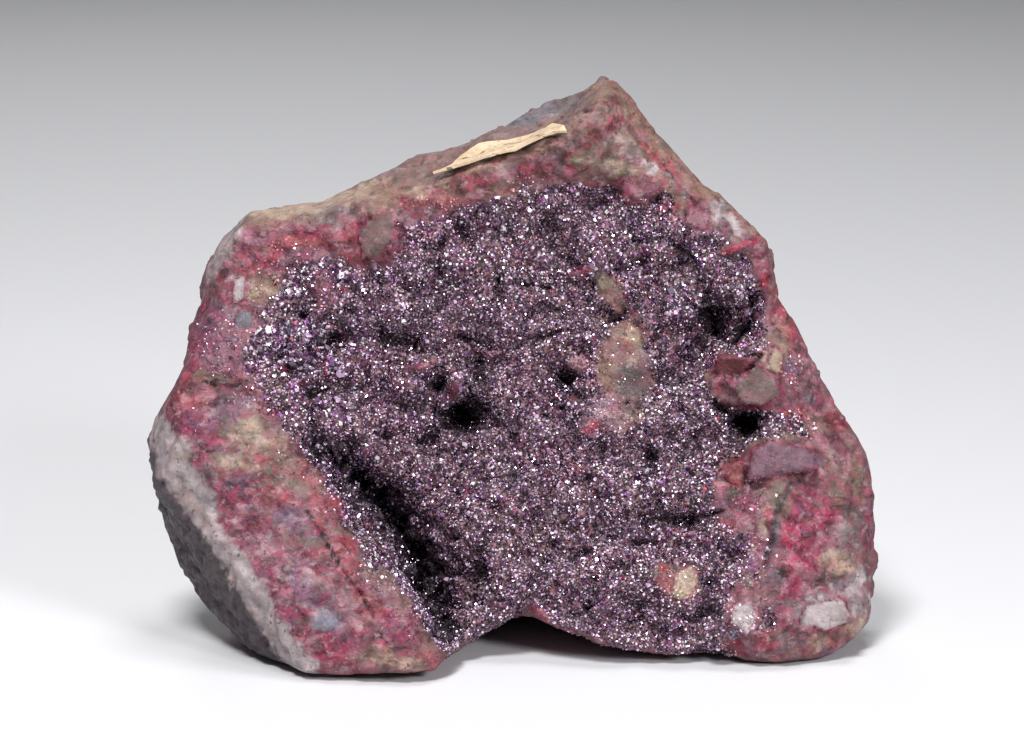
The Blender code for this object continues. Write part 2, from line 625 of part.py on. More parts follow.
def label_place(along, over, middle):
    """Where a place on the label lies, seen from above, for its shares along and over the label."""
    narrow, wide = LABEL_WIDTH
    width = narrow + (wide - narrow) * min(1.0, along / LABEL_WIDENS_OVER)
    ragged = LABEL_RAGGED * math.sin(LABEL_WAVES * along) * (1.0 - over)
    x = LABEL_LEFT - middle[0] + LABEL_LENGTH * along - LABEL_END_SLANT * over * along
    front = LABEL_FRONT + LABEL_UP * math.sin(FACE_TILT) - middle[1]
    return x * MM, (front + ragged + width * over - LABEL_TURN * along) * MM


def highest_near(tree, x, y):
    """The highest that the stone's top lies within the label's stiff reach of a place."""
    heights = []
    for dx in (-LABEL_REST, 0.0, LABEL_REST):
        for dy in (-LABEL_REST, 0.0, LABEL_REST):
            above = Vector((x + dx * MM, y + dy * MM, GROUND_REACH * MM))
            hit = tree.ray_cast(above, Vector((0, 0, -1)))[0]
            if hit and hit.z > LABEL_LOWEST * MM:
                heights.append(hit.z)
    return max(heights)


def make_label(tree, middle):
    """The paper label, which follows the top of the stone a little above it. It is in metres."""
    work = bmesh.new()
    bmesh.ops.create_grid(work, x_segments=LABEL_COLUMNS, y_segments=LABEL_ROWS, size=0.5)
    for vertex in work.verts:
        along, over = vertex.co.x + 0.5, vertex.co.y + 0.5
        x, y = label_place(along, over, middle)
        curl = LABEL_CURL * max(0.0, 1.0 - along / LABEL_CURLS_OVER) * (1.0 - over)
        vertex.co = (x, y, highest_near(tree, x, y) + (LABEL_GAP + curl) * MM)
    label = link("paper_label", mesh_from("paper_label", work))
    thick = label.modifiers.new("paper", "SOLIDIFY")
    thick.thickness = LABEL_PAPER * MM
    thick.offset = 1.0
    apply_modifiers(label)
    return label


def paint(target, name, look):
    """Gives a solid its own plain material."""
    colour, roughness, metallic = look
    material = bpy.data.materials.new(name)
    material.use_nodes = True
    shader = material.node_tree.nodes["Principled BSDF"]
    shader.inputs["Base Color"].default_value = (*colour, 1.0)
    shader.inputs["Roughness"].default_value = roughness
    shader.inputs["Metallic"].default_value = metallic
    material.diffuse_color = (*colour, 1.0)
    target.data.materials.clear()
    target.data.materials.append(material)


def collect(name, members):
    """Moves the finished solids into a collection of their own."""
    group = bpy.data.collections.new(name)
    bpy.context.scene.collection.children.link(group)
    for member in members:
        for old in list(member.users_collection):
            old.objects.unlink(member)
        group.objects.link(member)


def main():
    for old in list(bpy.data.objects):
        bpy.data.objects.remove(old)
    matrix = make_stone()
    matrix.name = "matrix"
    face = surface_of(matrix)
    layout = crust_layout(face)
    crust = make_crust(face, layout)
    decimate(matrix, STONE_TRIANGLES)
    cut(matrix, pocket_cutter(layout))
    for solid in (matrix, crust):
        true_size(solid)
    points = leaned(matrix.data)
    middle = (points[:, :2].min(0) + points[:, :2].max(0)) / 2
    for solid in (matrix, crust):
        stand_up(solid, leaned_foot(), middle)
    cut(matrix, ground_cutter())
    label = make_label(surface_of(matrix), middle)

    paint(matrix, "breccia", BRECCIA)
    paint(crust, "cinnabar", CINNABAR)
    paint(label, "paper", PAPER)
    collect("cinnabar_on_matrix", (matrix, crust, label))


main()
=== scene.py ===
"""The looks of a hand specimen of cinnabar on matrix: its broken breccia with clasts, veins and cracks,
the druse of many small cinnabar crystals in its hollow, and the aged paper label on its top.

Places on the stone are in its face frame, in millimetres: across to the right, up the broken face, and
back into the stone, as the eye at the camera's place sees them.
"""

import math

import bmesh
import bpy
import numpy as np
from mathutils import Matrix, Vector, noise
from mathutils.bvhtree import BVHTree

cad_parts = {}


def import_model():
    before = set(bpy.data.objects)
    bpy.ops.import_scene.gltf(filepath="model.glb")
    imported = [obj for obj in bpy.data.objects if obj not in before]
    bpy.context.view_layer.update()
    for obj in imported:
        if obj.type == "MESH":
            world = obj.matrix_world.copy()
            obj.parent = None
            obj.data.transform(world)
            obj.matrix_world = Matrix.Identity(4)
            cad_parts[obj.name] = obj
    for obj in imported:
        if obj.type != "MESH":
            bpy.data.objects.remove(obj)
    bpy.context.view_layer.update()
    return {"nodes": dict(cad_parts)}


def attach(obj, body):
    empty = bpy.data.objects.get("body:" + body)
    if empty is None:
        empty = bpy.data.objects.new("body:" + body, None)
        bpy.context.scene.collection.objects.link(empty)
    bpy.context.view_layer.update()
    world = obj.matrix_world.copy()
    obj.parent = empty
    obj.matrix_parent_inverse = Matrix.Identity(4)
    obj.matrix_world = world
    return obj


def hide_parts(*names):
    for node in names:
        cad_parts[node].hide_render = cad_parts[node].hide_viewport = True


MM = 0.001

# The face frame: its origin in the world's millimetres, its lean, and the eye that sees it
FACE_ORIGIN = (0.085, -14.099, -2.703)
FACE_TILT = math.radians(12.0)
VIEW_DISTANCE = 512.0
EYE_HEIGHT = 37.4
INTO_STONE = np.array((0.0, math.cos(FACE_TILT), -math.sin(FACE_TILT)))
UP_THE_FACE = np.array((0.0, math.sin(FACE_TILT), math.cos(FACE_TILT)))

# How fine the stone's surface is, in millimetres and triangles
FUSE_CELL = 0.9
FINE_CELL = 0.30
STONE_TRIANGLES = 185000

# The camera: lens and sensor in millimetres, and the nearest place it sees, in metres
LENS = 150.0
SENSOR_WIDTH = 36.0
NEAREST_SEEN = 0.01

# The lights: name, place in metres, width in metres and power in watts. All of them aim at one place.
LIGHTS = (
    ("key", (-0.12, -0.34, 0.60), 0.18, 4.9),
    ("fill", (0.34, -0.46, 0.30), 0.16, 2.6),
    ("top", (0.05, 0.06, 0.62), 0.24, 1.6),
    ("back", (-0.12, 0.55, 0.40), 0.30, 0.6),
)
LIT_PLACE = (0.0, 0.0, 0.033)
SKY_COLOUR = (0.92, 0.94, 1.0, 1.0)
SKY_STRENGTH = 0.095

# The floor, in metres, a hair below the stone
FLOOR_WIDTH = 6.0
FLOOR_LEVEL = -0.0002
FLOOR_COLOUR = (0.62, 0.62, 0.64, 1.0)

# How the broken rock's faces are laid flat: cell in millimetres, where its cells start, share, tilt
BACK_FACES = (20.0, 2.0, 0.8, 0.1)
LARGE_FACES = (6.5, 4.0, 0.75, 0.07)
SMALL_FACES = (2.4, 8.0, 0.75, 0.2)

# Relief: its kind, its height and cell in millimetres, where its pattern starts, and the noise's octaves
DRUSE_LUMPS = (("lumps", 3.6, 4.6, 5.0), ("lumps", 1.7, 1.9, 13.0))
DRUSE_SWELLS = (("noise", 1.3, 6.4, 3.0, 2), ("noise", 0.2, 0.7, 7.0, 2))
ROCK_RELIEF = (("chips", 0.5, 1.5, 9.0), ("noise", 0.12, 2.0, 91.0, 3), ("chips", 0.1, 0.8, 19.0))
POROUS_RELIEF = (("chips", 0.5, 1.7, 15.0), ("noise", 0.35, 1.1, 47.0, 3))
ROCK_GRAIN = (("noise", 0.08, 0.7, 17.0, 2),)
LUMP_LEVEL = 0.78
FRAGMENT_HEIGHT = 0.14
HOLLOW_DEPTH = 1.25
KNOB_HEIGHT = 1.2

# The angular fragments in the rock: the size of their cells in millimetres, and where the cells start
FRAGMENT_CELLS = ((2.6, 1.0), (1.2, 6.0))

# The noise that bends fragments and lumps: how far and how wide, in millimetres, and where it starts
FRAGMENT_BEND = (0.5, 1.6, (19.0, 29.0, 37.0))
LUMP_BEND = (1.1, 3.4, (61.0, 67.0, 71.0))

# How open a place is, for the painted shade in recesses: how many rays are sent out, from how high over it,
# and how far they reach
SKY_RAYS = 14
RAY_LIFT = 0.15
RAY_REACH = 6.0

# The seeds of what is left to chance: the chips' tilts, the tilts of broken faces, the rays, the druse
CHIP_SEED = 7
TILT_SEED = 23
SKY_SEED = 5
DRUSE_SEED = 11

# The crystals of the druse: how many, how far back and how low they may be, in millimetres, how much
# they lean, and how their sizes spread, with more small ones than large ones
SMALL_CRYSTALS = 60000
MIDDLE_CRYSTALS = 3400
LARGE_CRYSTALS = 240
CRYSTALS_A_PIECE = 15500
CRYSTALS_BACK = 21.0
CRYSTALS_LOW = 0.6
CRYSTAL_LEAN = 0.6
SIZE_SPREAD = (1.6, 2.6)

# The kinds of crystals: nearly black, purple, silver and ruby
CRYSTAL_KINDS = ((17, 4, 19), (82, 42, 90), (220, 194, 226), (112, 12, 38))
BLACK_SHARE = 0.52
RUBY_SHARE = 0.03

# A rhombohedron that stands on one corner, one unit from its middle to that corner, and how far
# its other corners are from its long axis
BELT = 0.9428
RHOMBOHEDRON = [(0, 0, 1)] + [
    (math.cos(math.tau * k / 6) * BELT, math.sin(math.tau * k / 6) * BELT, 1 / 3 if k % 2 == 0 else -1 / 3)
    for k in range(6)
] + [(0, 0, -1)]  # fmt: skip
RHOMBOHEDRON_FACES = [
    (0, 1, 2, 3), (0, 3, 4, 5), (0, 5, 6, 1), (7, 2, 1, 6), (7, 4, 3, 2), (7, 6, 5, 4),
]  # fmt: skip

# Where the druse covers the face, clockwise from its top left: across, up
DRUSE_EDGE = [
    (-13.5, 54.6), (-9.6, 55.0), (-5.2, 56.6), (-2.0, 58.0), (2.0, 59.0), (7.0, 59.2),
    (12.4, 59.0), (13.2, 57.2), (16.0, 57.4), (18.2, 58.4), (19.6, 57.2), (20.6, 55.4),
    (22.4, 53.6), (24.6, 54.0), (26.0, 52.0), (28.2, 50.6), (29.6, 48.4), (30.6, 45.0),
    (30.6, 42.0), (30.8, 39.6), (29.0, 38.4), (24.6, 38.6), (23.6, 36.4), (24.0, 33.6),
    (27.2, 32.2), (31.6, 32.4), (35.0, 31.4), (35.4, 28.8), (30.0, 28.6), (28.0, 27.4),
    (25.8, 25.6), (24.4, 23.4), (24.2, 21.0), (25.6, 18.6), (28.6, 17.2), (28.8, 13.4),
    (26.2, 10.6), (28.0, 8.2), (31.4, 8.6), (31.8, 5.8), (28.0, 5.2), (26.4, 2.0),
    (12.0, 3.2), (8.0, 5.4), (4.6, 6.6), (2.0, 8.6), (0.6, 7.4), (-2.0, 5.6), (-6.4, 3.6),
    (-8.0, 2.2), (-9.2, 3.6), (-10.4, 5.6), (-12.4, 9.0), (-14.6, 12.4), (-17.6, 13.2),
    (-18.6, 16.0), (-20.0, 18.2), (-21.4, 21.4), (-23.6, 24.6), (-25.6, 27.4), (-28.2, 30.4),
    (-29.8, 33.6), (-32.4, 36.4), (-32.8, 39.6), (-30.6, 41.8), (-29.8, 44.6), (-27.8, 47.2),
    (-27.4, 49.6), (-24.0, 50.2), (-20.6, 50.8), (-18.0, 49.2), (-14.6, 49.4), (-13.6, 51.6),
]  # fmt: skip

# Ovals on the face: across, up, half width, half height, turn in degrees, and then a strength
HOLLOWS = {
    "hole under the knob": (-6.3, 31.6, 1.9, 1.5, 0, 4.0),
    "hole left of the knob": (-8.6, 35.4, 1.0, 1.0, 0, 2.4),
    "hole right of the knob": (-3.9, 36.6, 0.9, 1.8, -10, 2.0),
    "slit above right of the knob": (-5.0, 40.4, 2.0, 0.5, -20, 1.6),
    "pit below left": (-10.5, 28.8, 1.5, 1.2, 30, 2.6),
    "crescent slit": (6.8, 35.0, 2.6, 0.55, -38, 2.2),
    "long hollow above": (4.5, 41.0, 3.4, 0.6, 12, 1.4),
    "middle slit": (-1.6, 47.6, 0.4, 1.0, 0, 1.6),
    "upper left slit": (-21.6, 40.6, 2.6, 0.7, 22, 1.8),
    "hollow under the plates": (-24.4, 37.4, 1.5, 0.7, 0, 1.4),
    "slit in the plates": (-25.2, 43.4, 1.4, 0.6, 10, 1.2),
    "low left hollow": (-24.4, 34.2, 3.2, 0.8, 20, 1.4),
    "brow cleft": (17.4, 57.4, 1.0, 0.6, 40, 1.6),
    "brow gap": (12.2, 58.6, 0.9, 0.7, 0, 1.4),
    "brow pocket": (14.8, 49.4, 1.6, 0.6, 15, 1.2),
    "right dark hollow": (24.2, 43.4, 1.2, 3.0, 5, 2.0),
    "right dark pocket": (27.6, 41.6, 1.4, 0.9, 20, 2.0),
    "pocket under the ball": (29.2, 45.2, 0.7, 1.2, 0, 1.6),
    "pocket over the clast": (28.6, 38.4, 1.1, 0.6, 0, 1.6),
    "hollow left of the clasts": (22.4, 39.4, 1.6, 1.0, 40, 1.6),
    "hole below the clast": (28.4, 30.6, 1.9, 0.9, 8, 3.4),
    "hole below the clast, left": (25.0, 32.4, 1.6, 0.6, -25, 2.0),
    "low right slit": (19.4, 18.9, 4.6, 0.7, -3, 1.8),
    "low right slit, end": (24.2, 19.6, 1.4, 0.3, 12, 1.4),
    "pit over the slit": (16.6, 27.0, 1.0, 0.7, 0, 1.4),
    "pit beside the notch": (-5.0, 9.0, 1.3, 1.0, 30, 1.4),
    "dark step": (23.0, 7.6, 1.8, 0.7, 20, 1.2),
    "floor pit": (9.0, 8.4, 0.6, 0.5, 0, 1.0),
    "floor pit, second": (8.4, 15.0, 1.6, 0.4, 10, 0.8),
    "spot on the right edge": (41.6, 20.1, 0.7, 0.5, 0, 0.8),
    "red pit": (15.4, 24.0, 1.2, 1.0, 0, 0.8),
}  # fmt: skip
KNOBS = {
    "hanging knob": (-6.1, 35.0, 1.5, 2.3, 0, 2.6),
    "ledge by the knob": (-10.6, 37.4, 2.8, 0.45, 16, 1.1),
    "lump under the ledge": (-12.2, 35.0, 1.6, 1.1, 0, 0.9),
    "lip over the slit": (6.0, 33.6, 2.0, 0.6, -38, 0.8),
    "rim of the tan patch": (17.2, 37.0, 0.35, 2.2, 30, 0.9),
    "rosette": (19.2, 43.2, 1.2, 1.4, 0, 0.9),
    "ball at the right": (27.4, 47.4, 1.8, 2.6, 10, 1.0),
    "red rim of the brow": (26.6, 51.4, 2.0, 0.45, 18, 0.8),
    "step on the floor": (3.0, 10.6, 2.4, 0.5, 25, 0.5),
    "lip of the arch": (3.0, 8.0, 1.2, 0.6, 60, 0.5),
    "ledge of the middle": (8.4, 48.6, 2.0, 0.6, 14, 0.9),
    "block under the brow": (22.0, 55.0, 1.6, 1.0, -30, 0.6),
}  # fmt: skip

# Corners of the clasts' faces, how proud they stand, how they lean to the right and upwards, and colour
CLASTS = {
    "upper left": ([(-17.9, 50.2), (-18.4, 53.4), (-16.4, 55.4), (-14.4, 56.0), (-14.0, 53.0),
                    (-16.0, 50.4)], 0.7, 0.2, 0.24, "grey brown"),
    "right, dark": ([(24.2, 38.6), (29.2, 38.0), (26.4, 35.6), (24.4, 36.6)],
                    0.8, -0.4, -0.4, "brick dark"),
    "right, large": ([(26.6, 34.6), (29.2, 37.4), (31.9, 36.0), (32.2, 34.0), (30.0, 32.6),
                      (27.4, 32.9)], 1.3, 0.24, 0.28, "grey brown"),
    "right, light": ([(30.4, 36.8), (31.4, 39.8), (32.6, 38.8), (32.2, 36.4)], 1.0, 0.4, 0.1, "cream"),
    "lower right": ([(28.2, 23.6), (28.8, 27.2), (31.0, 28.3), (34.4, 27.6), (37.4, 26.8),
                     (36.2, 24.8), (32.0, 24.2)], 1.1, 0.12, 0.2, "mauve grey"),
    "red, lower right": ([(25.4, 24.2), (27.0, 26.2), (28.0, 25.6), (27.8, 22.4)], 0.7, 0.2, 0.0, "brick"),
    "white, low": ([(19.2, 9.6), (19.8, 12.4), (21.6, 13.4), (22.4, 11.6), (20.8, 9.0)],
                   0.7, 0.2, 0.16, "cream"),
    "grey, low": ([(26.2, 6.6), (26.6, 8.6), (28.6, 9.0), (29.4, 7.2), (28.2, 5.0)], 0.6, 0.24, 0.2, "white"),
    "corner, white": ([(34.4, 6.6), (35.4, 8.6), (39.6, 9.4), (40.8, 6.8), (37.6, 5.6)],
                      0.5, 0.16, 0.1, "white"),
    "upper left, white": ([(-33.4, 44.8), (-33.2, 47.6), (-32.0, 48.2), (-32.2, 45.4)],
                          0.5, 0.2, 0.1, "white"),
    "blue grey": ([(-33.4, 41.8), (-32.8, 44.0), (-31.2, 43.8), (-31.2, 42.0)], 0.4, 0.0, 0.0, "blue grey"),
    "block under the brow": ([(20.6, 54.4), (21.4, 56.4), (23.6, 55.6), (23.2, 53.8)],
                             0.5, 0.4, 0.1, "pale rose"),
}  # fmt: skip

# How far, in millimetres, a clast's flat face may move a place of the stone
CLAST_REACH = 3.0

# Narrow cracks: corners of each line, then half width and depth
CRACKS = {
    "crevice": ([(-23.6, 27.4), (-20.4, 25.2), (-15.8, 21.4), (-11.8, 15.6), (-9.6, 9.8), (-8.2, 5.4)],
                1.8, 4.6),
    "crevice, inner": ([(-18.6, 24.2), (-13.8, 18.4), (-10.6, 12.6)], 1.3, 3.0),
    "block, upper": ([(-24.6, 19.8), (-23.8, 18.5), (-22.8, 16.9)], 0.22, 0.7),
    "block, middle": ([(-22.2, 15.7), (-21.0, 13.9), (-19.4, 11.5), (-18.2, 9.9)], 0.20, 0.8),
    "block, lower": ([(-17.8, 9.2), (-16.6, 7.0)], 0.22, 0.7),
    "block, lowest": ([(-16.0, 5.2), (-15.1, 3.9)], 0.20, 0.5),
    "block, side": ([(-30.9, 16.9), (-30.3, 15.7)], 0.14, 0.3),
    "under the label": ([(4.5, 66.3), (7.2, 67.5), (10.6, 68.1)], 0.12, 0.3),
    "right of the tan patch": ([(15.2, 42.4), (16.0, 39.4), (17.8, 36.4)], 0.18, 0.6),
    "through the right clasts": ([(26.4, 35.5), (29.2, 37.7), (30.0, 38.6)], 0.20, 0.8),
    "beside the dark seam": ([(29.4, 27.6), (28.2, 24.0), (27.6, 22.0)], 0.20, 0.6),
    "right seam": ([(33.4, 23.2), (31.8, 19.4), (31.0, 16.0), (30.2, 13.2)], 0.30, 0.5),
    "lower seam": ([(32.6, 13.2), (32.2, 11.0), (31.6, 9.4)], 0.25, 0.5),
    "upper left face": ([(-31.6, 35.6), (-33.8, 34.6), (-36.6, 35.4)], 0.25, 0.5),
    "upper right slope": ([(18.2, 61.4), (20.4, 58.6), (22.2, 56.6)], 0.18, 0.4),
}  # fmt: skip

# The colours of the stone, as they are to the eye, 0 to 255, and dark, the painted shade in its cracks and
# small holes
PALETTE = {
    "rose": (146, 84, 100), "deep rose": (122, 54, 76), "pale rose": (182, 142, 148),
    "crimson": (156, 50, 80), "bright crimson": (186, 56, 92),
    "bright red": (196, 52, 66), "salmon": (178, 104, 94),
    "brick": (152, 66, 56), "red brown": (104, 50, 46), "white": (214, 201, 204),
    "cream": (206, 184, 158), "tan": (160, 134, 110), "brown": (114, 86, 70),
    "olive": (124, 112, 92), "grey": (126, 116, 112), "dark grey": (84, 83, 90),
    "slate": (92, 92, 100), "blue grey": (134, 132, 144), "pale blue": (160, 160, 182),
    "lilac": (138, 108, 130), "plum": (96, 58, 82), "magenta": (162, 72, 108),
    "rust": (150, 88, 60), "brick dark": (112, 50, 48), "grey brown": (112, 92, 84),
    "mauve grey": (132, 98, 112), "dark": (34, 20, 28), "purple druse": (66, 34, 56),
}  # fmt: skip

PAPER = (200, 178, 150)
AGED_PAPER = (172, 144, 112)
INK = (62, 44, 36)

# How far apart the patterns of two seeds are, in millimetres
SEED_STEP = 9.0

# The hues of the rock's own patches, their size in millimetres and how strong they are, how strong
# the areas below are, and the hues of the rock's angular fragments
ROCK_HUES = ("rose", "deep rose", "tan", "grey", "pale rose", "olive", "lilac", "dark grey")
ROCK_PATCH = 5.2
PATCH_SHARE = 0.35
AREA_STRENGTH = 1.15
FRAGMENTS = ("pale rose", "grey", "tan", "lilac", "deep rose", "white", "red brown", "slate", "rose")

